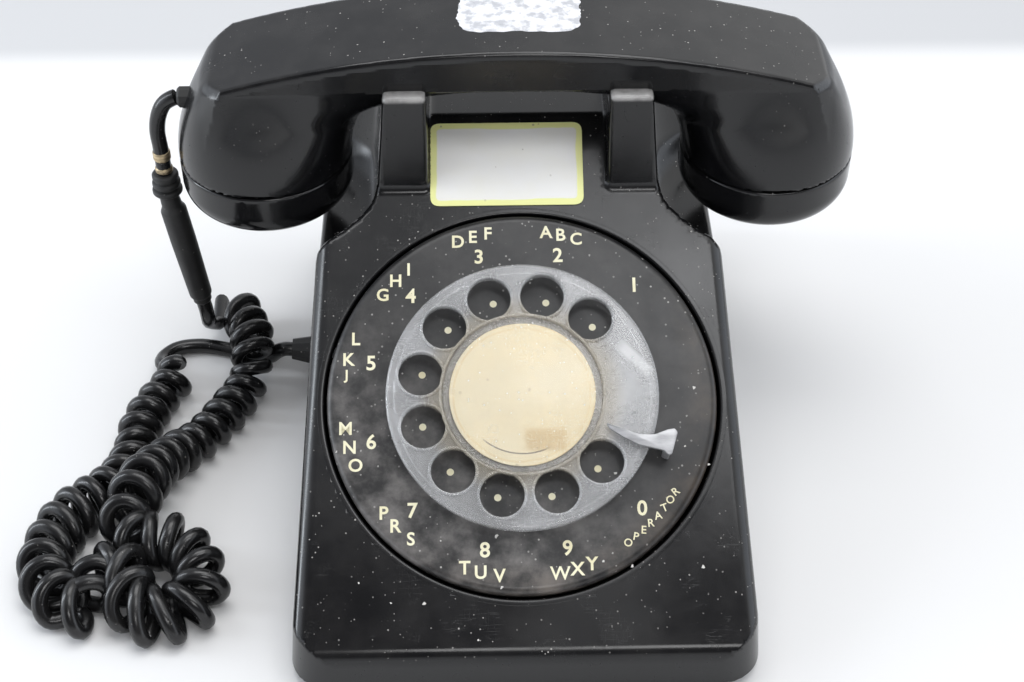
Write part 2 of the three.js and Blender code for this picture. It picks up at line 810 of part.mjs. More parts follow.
function makeWheel() {
  const edge = wheelThickness / 2;
  const disc = spun([
    [shaftRadius + shaftClearance, wheelFoot],
    [wheelRadius - wheelThickness, wheelFoot],
    [wheelRadius - wheelThickness, wheelFoot - wheelSkirt],
    [wheelRadius, wheelFoot - wheelSkirt],
    [wheelRadius, wheelTop - edge],
    [wheelRadius - edge, wheelTop],
    [cardRingRadius, wheelTop],
    [cardRingRadius, wheelTop + cardRingHeight],
    [cardRingRadius - holeRimWidth, wheelTop + cardRingHeight],
    [cardRingRadius - holeRimWidth, cardSeat],
    [shaftRadius + shaftClearance, cardSeat],
    [shaftRadius + shaftClearance, wheelFoot],
  ], 36);
  const atHoles = (radius, low, high) => holeAngles.map((angle) => (
    rod(radius, low, high, fingerPitchRadius * Math.cos(angle), fingerPitchRadius * Math.sin(angle), 12)
  ));
  const rims = atHoles(fingerHoleRadius + holeRimWidth, wheelTop - edge, wheelTop + holeRimHeight);
  const holes = atHoles(fingerHoleRadius, -overrun, wheelTop + overrun);
  const cardRoom = rod(cardRingRadius - holeRimWidth, cardSeat, wheelTop + overrun, 0, 0, 36);
  return cut(cut(join(disc, ...rims), cardRoom), ...holes);
}

add('finger_wheel', makeWheel(), 'clearPlastic', dial);

const cardFoot = cardSeat + seat;
const cardTop = cardFoot + cardThickness;
const cardProfile = [[0, cardFoot], [cardRadius, cardFoot], [cardRadius, cardTop], [0, cardTop]];
add('number_card', spun(cardProfile), 'card', dial);

function makeWindow() {
  const foot = cardTop + seat;
  const radius = cardRingRadius - holeRimWidth - seat;
  const rim = radius - 2 * windowThickness;
  const domeShares = [[1, 0], [0.65, 0.55], [0, 0.7]];
  const outer = domeShares.map(([out, up]) => [radius * out, foot + windowThickness + windowDome * up]);
  const inner = domeShares.map(([out, up]) => [rim * out, foot + windowDome * up]).reverse();
  return spun([...inner, [radius, foot], ...outer]);
}

add('card_window', makeWindow(), 'clearPlastic', dial);

const shaftTop = cardSeat;
const shaftFoot = -rearPlateDepth - rearPlateThickness;
const clampHeight = 1.2;

function makeShaft() {
  const hub = rod(hubRadius - 2 * seat, wheelFoot - seat - clampHeight, wheelFoot - seat);
  return join(rod(shaftRadius, shaftFoot, shaftTop), hub);
}

add('dial_shaft', makeShaft(), 'steel', dial);

function makeStop() {
  const bladeFoot = wheelTop + holeRimHeight + stopRise;
  const pathShares = [[0, 0.25, 0.24], [0.35, 0.02, 0.46], [0.7, 0, 0.63], [1, 0.2, 1]];
  const run = stopFootRadius - stopTipRadius;
  const upper = pathShares.map(([along, lift, width]) => [
    stopTipRadius + run * along,
    lift * stopSweep + width * stopHalfWidth,
  ]);
  const lower = pathShares.map(([along, lift, width]) => [
    stopTipRadius + run * along,
    lift * stopSweep - width * stopHalfWidth,
  ]);
  const corners = [...lower, ...upper.reverse()].map(([a, b]) => [a, b, stopThickness]);
  const blade = slab(rounded(corners, 3), stopThickness).translate(0, 0, bladeFoot);
  const legInner = wheelRadius + 2 * wheelSkirt - seat * 2;
  const leg = block(legInner, stopFootRadius, stopThickness - stopHalfWidth, stopHalfWidth + stopThickness,
    seat, bladeFoot + stopThickness / 2);
  return turned(join(blade, leg), zAxis, stopAngle);
}

add('finger_stop', makeStop(), 'steel', dial);

// Dial train behind the plate
const pulseDistance = (gearModule * (mainTeeth + pulseTeeth)) / 2;
const governorDistance = (stepGearModule * (stepTeeth + governorTeeth)) / 2;
const pulseAngle = THREE.MathUtils.degToRad(215);
const pulseX = pulseDistance * Math.cos(pulseAngle);
const pulseY = pulseDistance * Math.sin(pulseAngle);
const governorAngle = THREE.MathUtils.degToRad(300);
const governorX = pulseX + governorDistance * Math.cos(governorAngle);
const governorY = pulseY + governorDistance * Math.sin(governorAngle);
const smallShaft = 1.5;
const pillarRadius = 2.6;
const pillarCircle = frameRadius - pillarInset;
const rearPlateRadius = frameRadius - rearPlateInset;
const pillarAngles = [90, 185, 355].map(THREE.MathUtils.degToRad);
const framePlane = -frameDepth;
const rearPlane = -rearPlateDepth;

function makeDialFrame() {
  const bore = shaftRadius + shaftClearance;
  const disc = ring(bore, frameRadius, framePlane - frameThickness, framePlane, roundSegments);
  const collar = ring(bore, hubRadius, framePlane, framePlane + frameThickness, smallSegments);
  const posts = [30, 150, 270].map((angle) => {
    const turn = THREE.MathUtils.degToRad(angle);
    return rod(pillarRadius, framePlane - frameThickness / 2, -plateThickness - seat,
      pillarCircle * Math.cos(turn), pillarCircle * Math.sin(turn));
  });
  const bores = [[pulseX, pulseY], [governorX, governorY]].map(([x, y]) => (
    rod(smallShaft + shaftClearance, framePlane - overrun, framePlane + overrun, x, y)
  ));
  return cut(join(disc, collar, ...posts), ...bores);
}

add('dial_frame', makeDialFrame(), 'steel', dial);

function makeRearPlate() {
  const bore = shaftRadius + shaftClearance;
  const disc = ring(bore, rearPlateRadius, rearPlane - rearPlateThickness, rearPlane, roundSegments);
  const pillars = pillarAngles.map((turn) => (
    rod(pillarRadius, rearPlane - rearPlateThickness / 2, framePlane - frameThickness - seat,
      pillarCircle * Math.cos(turn), pillarCircle * Math.sin(turn))
  ));
  const bores = [[pulseX, pulseY], [governorX, governorY]].map(([x, y]) => (
    rod(smallShaft + shaftClearance, rearPlane - overrun, rearPlane + overrun, x, y)
  ));
  return cut(join(disc, ...pillars), ...bores);
}

add('dial_rear_plate', makeRearPlate(), 'steel', dial);

function makeMainGear() {
  const wheel = gear(mainTeeth, gearModule, -mainGearDepth - gearThickness, -mainGearDepth);
  const low = -mainGearDepth - gearThickness;
  const bore = rod(shaftRadius + seat / 2, low - overrun, -mainGearDepth + overrun);
  const windows = [0, 1, 2, 3].map((i) => {
    const turn = (i * Math.PI) / 2 + Math.PI / 4;
    return rod(gearWindowRadius, low - overrun, -mainGearDepth + overrun,
      gearWindowCircle * Math.cos(turn), gearWindowCircle * Math.sin(turn));
  });
  return cut(wheel, bore, ...windows);
}

add('main_gear', makeMainGear(), 'brass', dial);

// The pulse shaft's teeth stand half a pitch round, so that they mesh at rest
function makePulseShaft() {
  const meshTurn = pulseAngle + Math.PI - pulseAngle * (-mainTeeth / pulseTeeth) + Math.PI / pulseTeeth;
  const pinionFoot = -mainGearDepth - gearThickness;
  const pinion = turned(gear(pulseTeeth, gearModule, pinionFoot, -mainGearDepth), zAxis, meshTurn);
  const step = gear(stepTeeth, stepGearModule, -stepGearDepth - gearThickness, -stepGearDepth);
  const cam = common(
    rod(camLength, -stepGearDepth - seat, -mainGearDepth - gearThickness + seat),
    block(-camLength, camLength, -camWidth, camWidth,
      -stepGearDepth - seat, -mainGearDepth - gearThickness + seat),
  );
  const shaft = rod(smallShaft, rearPlane - rearPlateThickness, framePlane);
  return moved(join(pinion, step, cam, shaft), pulseX, pulseY, 0);
}

add('pulse_shaft', makePulseShaft(), 'brass', dial);

function makeGovernor() {
  const toStep = governorAngle;
  const ratio = stepTeeth / governorTeeth;
  const meshTurn = toStep + Math.PI + toStep * ratio + Math.PI / governorTeeth;
  const pinionFoot = -stepGearDepth - gearThickness;
  const pinion = turned(gear(governorTeeth, stepGearModule, pinionFoot, -stepGearDepth), zAxis, meshTurn);
  const shaft = rod(smallShaft, rearPlane - rearPlateThickness, framePlane);
  const weights = block(-weightLength, weightLength, -weightWidth, weightWidth,
    rearPlane + weightGap, rearPlane + weightGap + weightThickness);
  return moved(join(pinion, shaft, weights), governorX, governorY, 0);
}

add('governor', makeGovernor(), 'brass', dial);

const governorCupRadius = 5.2;
const governorCupTop = rearPlane + weightGap + weightThickness;
const governorCup = ring(governorCupRadius, governorCupRadius + sheet, rearPlane + seat, governorCupTop, 20);
add('governor_cup', moved(governorCup, governorX, governorY, 0), 'steel', dial);

const springTurns = 3;
const springInner = 5;
const springPitch = 3.3;
const springStrip = 0.7;
const springWidth = 1.8;

function makeReturnSpring() {
  const steps = springTurns * 12;
  const inner = [];
  const outer = [];
  for (let i = 0; i <= steps; i += 1) {
    const turns = (i / steps) * springTurns;
    const angle = turns * 2 * Math.PI;
    const radius = springInner + turns * springPitch;
    inner.push([radius * Math.cos(angle), radius * Math.sin(angle)]);
    outer.push([(radius + springStrip) * Math.cos(angle), (radius + springStrip) * Math.sin(angle)]);
  }
  const strip = slab([...outer, ...inner.reverse()], springWidth);
  return strip.translate(0, 0, framePlane - frameThickness - seat - springWidth);
}

add('return_spring', makeReturnSpring(), 'steel', dial);

const leafThickness = 0.5;
const leafGap = 1.4;
const leafWidth = 5;
const leafLength = 20;
const leafBlock = 7;
const leafCount = 4;

// A stack of contact leaves held in one insulating block, standing on z = 0 and reaching along +Y
function leafStack() {
  const leaves = Array.from({ length: leafCount }, (_, i) => {
    const foot = seat + i * (leafThickness + leafGap);
    return block(-leafWidth / 2, leafWidth / 2, 0, leafLength, foot, foot + leafThickness);
  });
  const height = leafCount * (leafThickness + leafGap);
  const holder = block(-leafWidth / 2 - seat, leafWidth / 2 + seat, leafThickness, leafBlock, 0, height);
  return join(holder, ...leaves);
}

const contactX = 27.5;
const contactY = -2;
add('dial_contacts', moved(leafStack(), contactX, contactY, rearPlane + seat), 'brass', dial);

const bracketRoom = 2.2;
const bracketTabLength = 8;
const bracketTabLow = 2;
const bracketTabHigh = 12;
const bracketReach = frameRadius + bracketRoom;
const bracketTabInner = frameRadius - bracketTabLength;

function makeDialBracket(side) {
  const tabTop = framePlane - frameThickness - seat;
  const tab = onDial(block(
    bracketTabInner, bracketReach, bracketTabLow, bracketTabHigh, tabTop - sheet, tabTop,
  ));
  const middle = (bracketTabLow + bracketTabHigh) / 2;
  const spot = new THREE.Vector3(0, middle, tabTop - sheet / 2).applyMatrix4(dial.matrix);
  const half = (bracketTabHigh - bracketTabLow) / 2;
  const leg = block(bracketReach - sheet, bracketReach, spot.y - half, spot.y + half, trayTop + seat, spot.z);
  const foot = block(bracketReach - 2 * half, bracketReach, spot.y - half, spot.y + half,
    trayTop + seat, trayTop + seat + sheet);
  const right = join(tab, leg, foot);
  return side > 0 ? right : mirrored(right);
}

add('dial_bracket_left', makeDialBracket(-1), 'steel');
add('dial_bracket_right', makeDialBracket(1), 'steel');

// Network block under the dial
const networkSideRoom = 2.2;
const networkRearRoom = 22;
const networkDepth = 44;
const networkWidth = 2 * (bracketReach - (bracketTabHigh - bracketTabLow) - networkSideRoom);
const networkBack = handsetY - leverReach - networkRearRoom;
const networkFront = networkBack - networkDepth;
const networkHeight = 12;
const terminalCount = 6;
const terminalRadius = 2.4;

function makeNetwork() {
  const foot = trayTop + seat;
  const body = slab(rounded([
    [-networkWidth / 2, networkFront, sideEdgeRadius], [networkWidth / 2, networkFront, sideEdgeRadius],
    [networkWidth / 2, networkBack, sideEdgeRadius], [-networkWidth / 2, networkBack, sideEdgeRadius],
  ], 2), networkHeight).translate(0, 0, foot);
  const pitch = networkWidth / terminalCount;
  const terminals = Array.from({ length: terminalCount }, (_, i) => (
    rod(terminalRadius, foot + networkHeight - seat, foot + networkHeight + terminalRadius / 2,
      (i + 0.5) * pitch - networkWidth / 2, networkBack - 2 * terminalRadius, 10)
  ));
  return join(body, ...terminals);
}

add('network_block', makeNetwork(), 'phenolic');

// Hook switch: plungers, lever, bracket and contacts
const plungerDrop = 15.3;
const plungerFoot = deckHeight - plungerDrop;
const plungerCollar = 1.1;
const plungerCollarHeight = 2.5;
const plungerTip = 1.2;
const leverDrop = 2;
const leverPivotY = handsetY - leverReach;
const leverPivotZ = plungerFoot - leverDrop;
const leverRadius = 2;
const leverThickness = 2;
const leverArmWidth = 6.4;
const leverHalf = saddleX + leverArmWidth / 2 - seat;
const bracketHalf = 27;
const bracketFlange = 9;

function makePlunger(side) {
  const top = handleTopAt(saddleX + plungerRadius) - handleThickness - seat;
  const body = spun([
    [0, plungerFoot],
    [plungerRadius, plungerFoot],
    [plungerRadius, plungerFoot + plungerCollar],
    [plungerRadius + plungerCollar, plungerFoot + plungerCollar],
    [plungerRadius + plungerCollar, plungerFoot + plungerCollar + plungerCollarHeight],
    [plungerRadius, plungerFoot + plungerCollar + plungerCollarHeight],
    [plungerRadius, top - plungerTip],
    [plungerRadius - plungerTip, top],
    [0, top],
  ], smallSegments);
  return moved(body, side * saddleX, handsetY, 0);
}

add('plunger_left', makePlunger(-1), 'blackPlastic');
add('plunger_right', makePlunger(1), 'blackPlastic');

function makeLever() {
  const top = plungerFoot - seat;
  const axle = turned(rod(leverRadius, -leverHalf, leverHalf), yAxis, Math.PI / 2);
  const arms = [-1, 1].map((side) => block(
    side * saddleX - leverArmWidth / 2,
    side * saddleX + leverArmWidth / 2 - seat,
    leverPivotY - leverRadius / 2,
    handsetY + plungerRadius,
    top - leverThickness,
    top,
  ));
  return join(moved(axle, 0, leverPivotY, leverPivotZ), ...arms);
}

add('hook_lever', makeLever(), 'steel');

function makeHookBracket() {
  const back = leverPivotY - leverRadius - 1;
  const top = leverPivotZ + leverRadius;
  const plate = block(-bracketHalf, bracketHalf, back - sheet, back, trayTop + seat, top);
  const floor = trayTop + seat;
  const foot = block(-bracketHalf, bracketHalf, back - sheet, back + bracketFlange, floor, floor + sheet);
  const flanges = [-1, 1].map((side) => block(
    side * (bracketHalf - sheet / 2) - sheet / 2,
    side * (bracketHalf - sheet / 2) + sheet / 2,
    back - sheet,
    back + bracketFlange,
    leverPivotZ - bracketFlange,
    top,
  ));
  const axleHole = rod(leverRadius + seat, -bracketHalf - overrun, bracketHalf + overrun);
  const bore = turned(axleHole, yAxis, Math.PI / 2);
  const window = block(-bracketHalf / 2, bracketHalf / 2, back - sheet - overrun, back + overrun,
    trayTop + bracketFlange, leverPivotZ - 4 * bracketFlange);
  return cut(join(plate, foot, ...flanges), moved(bore, 0, leverPivotY, leverPivotZ), window);
}

add('hookswitch_bracket', makeHookBracket(), 'steel');

function makeHookContacts() {
  const stack = turned(leafStack(), xAxis, Math.PI / 2);
  const back = leverPivotY - leverRadius - 1 + seat;
  const lying = turned(stack, zAxis, Math.PI);
  return moved(lying, 0, back, leverPivotZ - 3 * bracketFlange);
}

add('hook_contacts', makeHookContacts(), 'brass');

// Ringer
const gongRadius = (footHalfWidth - gongSideRoom - gongGap / 2) / 2;
const gongY = rearY - gongInset;
const clapperPivotY = gongY + clapperReach;
const gongX = gongRadius + gongGap / 2;
const gongFoot = scoopFloor - wall - gongHeight - gongHeadroom;
const ringerFoot = trayTop + seat;
const coilHeight = gongFoot - ringerFoot - sheet - seat - coilHeadroom;
const ringerMargin = 5;
const ringerHalfDepth = 10;
const ringerHalfWidth = gongX + ringerMargin;
const ringerFront = gongY - ringerHalfDepth;
const ringerBack = clapperPivotY + ringerMargin;
const postRadius = 2.2;
const clapperHeight = gongFoot + gongHeight / 2;
const armRadius = 1.1;
const pinRadius = 2;
const pinRestRadius = 3.8;
const collarWall = 1.8;
const collarHeight = 6;

function makeRingerFrame() {
  const plate = slab(rounded([
    [-ringerHalfWidth, ringerFront, wall], [ringerHalfWidth, ringerFront, wall],
    [ringerHalfWidth, gongY + ringerHalfDepth, wall],
    [wall * 3, ringerBack, wall],
    [-wall * 3, ringerBack, wall],
    [-ringerHalfWidth, gongY + ringerHalfDepth, wall],
  ], 3), sheet).translate(0, 0, ringerFoot);
  const headFoot = gongFoot + gongHeight + seat;
  const posts = [-1, 1].flatMap((side) => [
    rod(postRadius, ringerFoot, headFoot + postRadius, side * gongX, gongY),
    rod(2 * postRadius, headFoot, headFoot + postRadius, side * gongX, gongY),
    rod(2 * postRadius, ringerFoot, gongFoot + gongHeight - gongWall - seat, side * gongX, gongY),
  ]);
  const pin = rod(pinRadius, ringerFoot, clapperHeight + collarHeight, 0, clapperPivotY);
  const rest = rod(pinRestRadius, ringerFoot, clapperHeight - collarHeight / 2 - seat, 0, clapperPivotY);
  return join(plate, ...posts, pin, rest);
}

add('ringer_frame', makeRingerFrame(), 'steel');

for (const [name, side] of [['left', -1], ['right', 1]]) {
  const coilFoot = ringerFoot + sheet + seat;
  const coil = spun([
    [0, coilFoot], [spoolRadius, coilFoot], [spoolRadius, coilFoot + sheet], [coilRadius, coilFoot + sheet],
    [coilRadius, coilFoot + coilHeight - sheet], [spoolRadius, coilFoot + coilHeight - sheet],
    [spoolRadius, coilFoot + coilHeight], [0, coilFoot + coilHeight],
  ], 16);
  add(`ringer_coil_${name}`, moved(coil, (side * coilSpacing) / 2, gongY, 0), 'copper');
  const bowlShares = [[1, 0], [0.97, 0.5], [0.8, 0.86], [0.5, 1]];
  const outer = bowlShares.map(([out, up]) => [gongRadius * out, gongFoot + gongHeight * up]);
  const inner = bowlShares.map(([out, up]) => [
    (gongRadius - gongWall) * out,
    gongFoot + (gongHeight - gongWall) * up,
  ]).reverse();
  const bore = postRadius + seat;
  const crown = gongFoot + gongHeight;
  const bowl = spun([...outer, [bore, crown], [bore, crown - gongWall], ...inner, outer[0]], 20);
  add(`gong_${name}`, moved(bowl, side * gongX, gongY, 0), 'brass');
}

function makeClapper() {
  const collarOuter = pinRadius + seat + collarWall;
  const collar = moved(ring(pinRadius + seat, collarOuter, clapperHeight - collarHeight / 2,
    clapperHeight + collarHeight / 2, smallSegments), 0, clapperPivotY, 0);
  const armLength = clapperPivotY - gongY - collarOuter + collarWall / 2;
  const arm = turned(rod(armRadius, 0, armLength), xAxis, Math.PI / 2);
  const ball = new THREE.SphereGeometry(clapperBallRadius, smallSegments, 10);
  return join(
    collar,
    moved(arm, 0, clapperPivotY - collarOuter + collarWall / 2, clapperHeight),
    moved(ball, 0, gongY, clapperHeight),
  );
}

add('clapper', makeClapper(), 'steel');

// Bare line inlet: a rubber bushing with an open bore
function makeInlet() {
  const bushing = spun([
    [inletBore, -wall - glandLip],
    [inletRadius + glandLip, -wall - glandLip],
    [inletRadius + glandLip, -wall - seat],
    [inletRadius, -wall - seat],
    [inletRadius, seat],
    [inletRadius + glandLip, seat],
    [inletRadius + glandLip - seat, glandLip],
    [inletBore, glandLip],
    [inletBore, -wall - glandLip],
  ], smallSegments);
  return throughRear(bushing);
}

// Curly cord, from the handset's bushing to the housing's gland
const leadStartX = -bushingX - bushingReach - 2 * seat;
const leadSteps = [[0, 0], [0.4, 0.1], [3.6, 2.1], [6, 6.5], [7.3, 12.5], [7.2, 18.5], [7.2, 19.9]];
const leadRoute = leadSteps.map(([out, down]) => [leadStartX - out, handsetY, bushingZ - down]);
const leadX = leadRoute.at(-1)[0];
const collarLength = 7.8;
const grommetLength = 8.3;
const collarTop = leadRoute.at(-1)[2] - seat;
const grommetTop = collarTop - collarLength - seat;
const sleeveTop = grommetTop - grommetLength - seat;
const sleeveFoot = [-106, handsetY, 24.5];
const tailRoute = [
  [-105.95, handsetY, 24.1],
  [-105.5, handsetY, 20.6],
  [-105.6, 42, 15],
  [-105.9, 45, 10.4],
  [-104.4, 47.6, 7.6],
  [-103.1, 48.3, 6.8],
];
const coilRise = curlDiameter / 2 + 0.2;
const coilBRoute = [
  [-98.6, 61.5, 7.2],
  [-97.4, 55.6, 7.6],
  [-94.4, 47, 9.4],
  [-90.9, 38.5, 12],
  [-89.8, 31, 12],
  [-89.4, 24.2, 10.6],
  [-90.3, 18.4, 7.6],
  [-93.2, 10.8, coilRise],
  [-96.6, 3.8, coilRise],
  [-100.5, -3, coilRise],
  [-105.3, -9.6, coilRise],
  [-110.6, -17, 9],
  [-115.1, -26.9, 13],
  [-118.6, -37.9, 15],
  [-121.4, -47, 13],
  [-118, -53, 10.6],
  [-112, -53.4, 10],
  [-105.4, -54.6, 10],
  [-99, -61, 9],
  [-96.4, -70, 7.6],
  [-100.6, -77.2, coilRise],
  [-112, -80.2, coilRise],
];
const coilARoute = [
  [-114.6, 24.4, coilRise],
  [-116, 19, coilRise],
  [-118.5, 13.4, coilRise],
  [-120.8, 8, coilRise],
  [-122.8, 2, coilRise],
  [-124.3, -5, coilRise],
  [-124.4, -13, coilRise],
  [-126.4, -23.5, coilRise],
  [-131.3, -30.8, coilRise],
  [-136.5, -36.4, coilRise],
  [-141, -43, coilRise],
  [-144, -50.4, coilRise],
  [-145, -59, coilRise],
  [-142, -68, coilRise],
  [-135.4, -75.4, coilRise],
  [-125.3, -79.4, coilRise],
  [-109, -80.4, coilRise],
];
const bundleY = -13;

function coilPiece(routes, north) {
  const fat = join(...routes.map((route) => tube(route, curlDiameter, Math.round(1.5 * route.length))));
  const edge = 200;
  const keep = north
    ? block(-edge, 0, bundleY + seat / 2, edge, -overrun, edge)
    : block(-edge, 0, -edge, bundleY - seat / 2, -overrun, edge);
  return common(fat, keep);
}

add('line_inlet', makeInlet(), 'rubber');

function makeBushing() {
  const plug = spun([
    [0, -bushingLength + seat],
    [bushingRadius, -bushingLength + seat],
    [bushingRadius, bushingReach - bushingTaper],
    [bushingRadius - bushingTaper, bushingReach],
    [0, bushingReach],
  ], smallSegments);
  return moved(turned(plug, yAxis, -Math.PI / 2), -bushingX, handsetY, bushingZ);
}

add('cord_bushing', makeBushing(), 'rubber');
add('handset_lead', tube(leadRoute, wireDiameter, 12), 'rubber');

function makeCollar() {
  const r = collarDiameter / 2;
  return moved(rod(r, grommetTop + seat, collarTop), leadX, handsetY, 0);
}

add('lead_collar', makeCollar(), 'brass');

function makeGrommet() {
  const r = grommetDiameter / 2;
  const height = grommetTop - sleeveTop - seat;
  const ribShares = [
    [0.78, 0], [1, 0.1], [1, 0.3], [0.8, 0.38], [0.8, 0.46], [1, 0.54], [1, 0.74], [0.8, 0.82], [0.8, 1],
  ];
  const profile = ribShares.map(([out, up]) => [r * out, sleeveTop + seat + height * up]);
  return moved(spun([[0, sleeveTop + seat], ...profile, [0, grommetTop]], smallSegments), leadX, handsetY, 0);
}

add('lead_grommet', makeGrommet(), 'rubber');

function makeSleeve() {
  const top = new THREE.Vector3(leadX, handsetY, sleeveTop - seat);
  const run = new THREE.Vector3(...sleeveFoot).sub(top);
  const length = run.length();
  const r = sleeveDiameter / 2;
  const taperShares = [[0.72, 0], [0.74, 0.1], [1, 0.14], [1, 0.4], [0.86, 0.96], [0.74, 1]];
  const profile = taperShares.map(([out, along]) => [r * out, length * along]);
  const sleeve = spun([[0, 0], ...profile, [0, length]], smallSegments);
  const turn = new THREE.Quaternion().setFromUnitVectors(zAxis, run.normalize());
  return sleeve.applyQuaternion(turn).translate(top.x, top.y, top.z);
}

add('lead_sleeve', makeSleeve(), 'rubber');
add('cord_tail', tube(tailRoute, wireDiameter, 10), 'rubber');
add('cord_coil_b', coilPiece([coilBRoute], true), 'rubber');
add('cord_bundle', coilPiece([coilBRoute, coilARoute], false), 'rubber');
add('cord_coil_a', coilPiece([coilARoute], true), 'rubber');

const reliefLength = 9;
const reliefTaper = 0.8;
function makeRelief() {
  const profile = [
    [0, -wall - glandLip],
    [glandRadius + glandLip, -wall - glandLip],
    [glandRadius + glandLip, -wall - seat],
    [glandRadius, -wall - seat],
    [glandRadius, seat],
    [glandRadius + glandLip / 2, seat],
    [glandRadius * reliefTaper, reliefLength],
    [0, reliefLength],
  ];
  return throughSide(spun(profile, smallSegments));
}

add('base_relief', makeRelief(), 'rubber');

const baseRoute = [
  [cordExitX - reliefLength - 2 * seat, cordExitY, cordExitZ + sheet / 2],
  [-78.8, cordExitY, 9.6],
  [-81.6, 32.4, 7.8],
  [-84.6, 33.6, 4.4],
  [-90, 35.4, 2.6],
  [-100.6, 39.3, 2.4],
  [-109.8, 41.2, 2.4],
  [-117.4, 39.8, 2.4],
  [-121.6, 34.8, 3],
  [-120.8, 29.6, 4.8],
  [-117.2, 27.8, 6],
];
add('base_lead', tube(baseRoute, wireDiameter, 18), 'rubber');

export default telephone;
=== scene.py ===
"""A rotary desk telephone with its handset in the cradle and a curly cord heaped at its left.

Everything is in metres in the CAD frame: X to the viewer's right, Y away from the viewer, Z up.
"""
import json
import math

import bpy
import numpy as np
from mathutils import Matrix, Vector


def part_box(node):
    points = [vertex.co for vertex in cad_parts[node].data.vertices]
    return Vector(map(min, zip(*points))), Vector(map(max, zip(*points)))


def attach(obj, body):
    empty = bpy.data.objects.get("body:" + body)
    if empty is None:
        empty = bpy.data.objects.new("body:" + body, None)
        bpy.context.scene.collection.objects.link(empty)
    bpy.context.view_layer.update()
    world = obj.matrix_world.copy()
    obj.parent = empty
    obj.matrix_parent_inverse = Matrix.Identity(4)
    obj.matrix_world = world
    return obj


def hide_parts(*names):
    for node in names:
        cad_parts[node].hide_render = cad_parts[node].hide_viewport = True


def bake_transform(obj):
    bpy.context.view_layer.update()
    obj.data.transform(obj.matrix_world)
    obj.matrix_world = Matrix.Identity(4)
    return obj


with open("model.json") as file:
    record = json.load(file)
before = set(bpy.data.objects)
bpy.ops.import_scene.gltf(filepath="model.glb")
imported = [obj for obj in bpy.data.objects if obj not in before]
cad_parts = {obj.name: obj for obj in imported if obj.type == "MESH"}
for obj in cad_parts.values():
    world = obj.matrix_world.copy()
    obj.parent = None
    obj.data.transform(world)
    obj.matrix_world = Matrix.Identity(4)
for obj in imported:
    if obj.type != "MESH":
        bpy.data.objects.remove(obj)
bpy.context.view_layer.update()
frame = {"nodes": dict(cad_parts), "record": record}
scene = bpy.context.scene

MM = 0.001


def mm(*values):
    """A point or size given in millimetres, in metres."""
    return tuple(value * MM for value in values)


# Camera, where the photograph was taken from
CAMERA_PLACE = mm(-9.93, -399.9, 414.3)
CAMERA_PITCH = math.radians(43.0)
CAMERA_YAW = math.radians(1.11)
CAMERA_LENS = 60.89
CAMERA_SENSOR = 36.0


def make_camera():
    data = bpy.data.cameras.new("camera")
    data.lens = CAMERA_LENS
    data.sensor_width = CAMERA_SENSOR
    data.clip_start = 0.01
    data.clip_end = 20.0
    camera = bpy.data.objects.new("camera", data)
    camera.location = CAMERA_PLACE
    camera.rotation_euler = (math.pi / 2 - CAMERA_PITCH, 0.0, -CAMERA_YAW)
    scene.collection.objects.link(camera)
    scene.camera = camera


# Mesh tools: points in millimetres, meshes in metres
SHARP_ANGLE = math.radians(35)


def mesh_object(name, points, faces, normals=None):
    mesh = bpy.data.meshes.new(name)
    corners = (np.asarray(points, float) * MM).tolist()
    mesh.from_pydata(corners, [], [list(map(int, face)) for face in faces])
    mesh.update()
    mesh.shade_smooth()
    if normals is not None:
        mesh.normals_split_custom_set_from_vertices(normals.tolist())
    else:
        mesh.set_sharp_from_angle(angle=SHARP_ANGLE)
    obj = bpy.data.objects.new(name, mesh)
    scene.collection.objects.link(obj)
    return obj


# Forms are distance functions: negative inside, positive outside
def merged(one, other, radius):
    """Both forms together, with a fillet of that radius where they meet."""
    fillet = np.hypot(np.maximum(radius - one, 0), np.maximum(radius - other, 0))
    return np.maximum(radius, np.minimum(one, other)) - fillet


def shared(one, other, radius, turn=90):
    """What both forms have in common. Its edge, where they turn by so many degrees, is rounded."""
    cosine, sine = math.cos(math.radians(turn)), math.sin(math.radians(turn))
    a, b = one + radius, other + radius
    away = np.sqrt(np.maximum(a**2 + b**2 - 2 * a * b * cosine, 0)) / sine
    on_edge = (a > b * cosine) & (b > a * cosine) & (a + b > 0)
    return np.where(on_edge, away - radius, np.maximum(one, other))


def beyond(points, start, end):
    """Distance outside the line from start to end in Y and Z, which has the form on its left."""
    run = np.array(end, float) - np.array(start, float)
    run /= np.linalg.norm(run)
    return (points[:, 1] - start[0]) * run[1] - (points[:, 2] - start[1]) * run[0]


def spaced(low, high, coarse, close_runs=()):
    """Grid places from low to high, closer together inside each (start, end, step) run."""
    places = [low]
    while places[-1] < high:
        here = places[-1]
        step = min([run[2] for run in close_runs if run[0] <= here < run[1]], default=coarse)
        ahead = [run[0] for run in close_runs if here < run[0] < here + step]
        places.append(min(ahead) if ahead else here + step)
    return np.array(places)


def along_axis(axis, part):
    """An index into a 3-D array that takes one part of one axis."""
    index = [slice(None)] * 3
    index[axis] = part
    return tuple(index)


def slope_at(form, points, reach=0.02):
    steps = np.eye(3) * reach
    return np.stack([form(points + step) - form(points - step) for step in steps], axis=1) / (2 * reach)


def drawn_onto(form, points):
    """The points moved onto the form's surface."""
    for _ in range(3):
        slope = slope_at(form, points)
        size = np.maximum((slope**2).sum(axis=1), 0.05)
        move = (form(points) / size)[:, None] * slope
        length = np.linalg.norm(move, axis=1)[:, None]
        points = points - move * np.minimum(1, 0.8 / np.maximum(length, 1e-9))
    return points


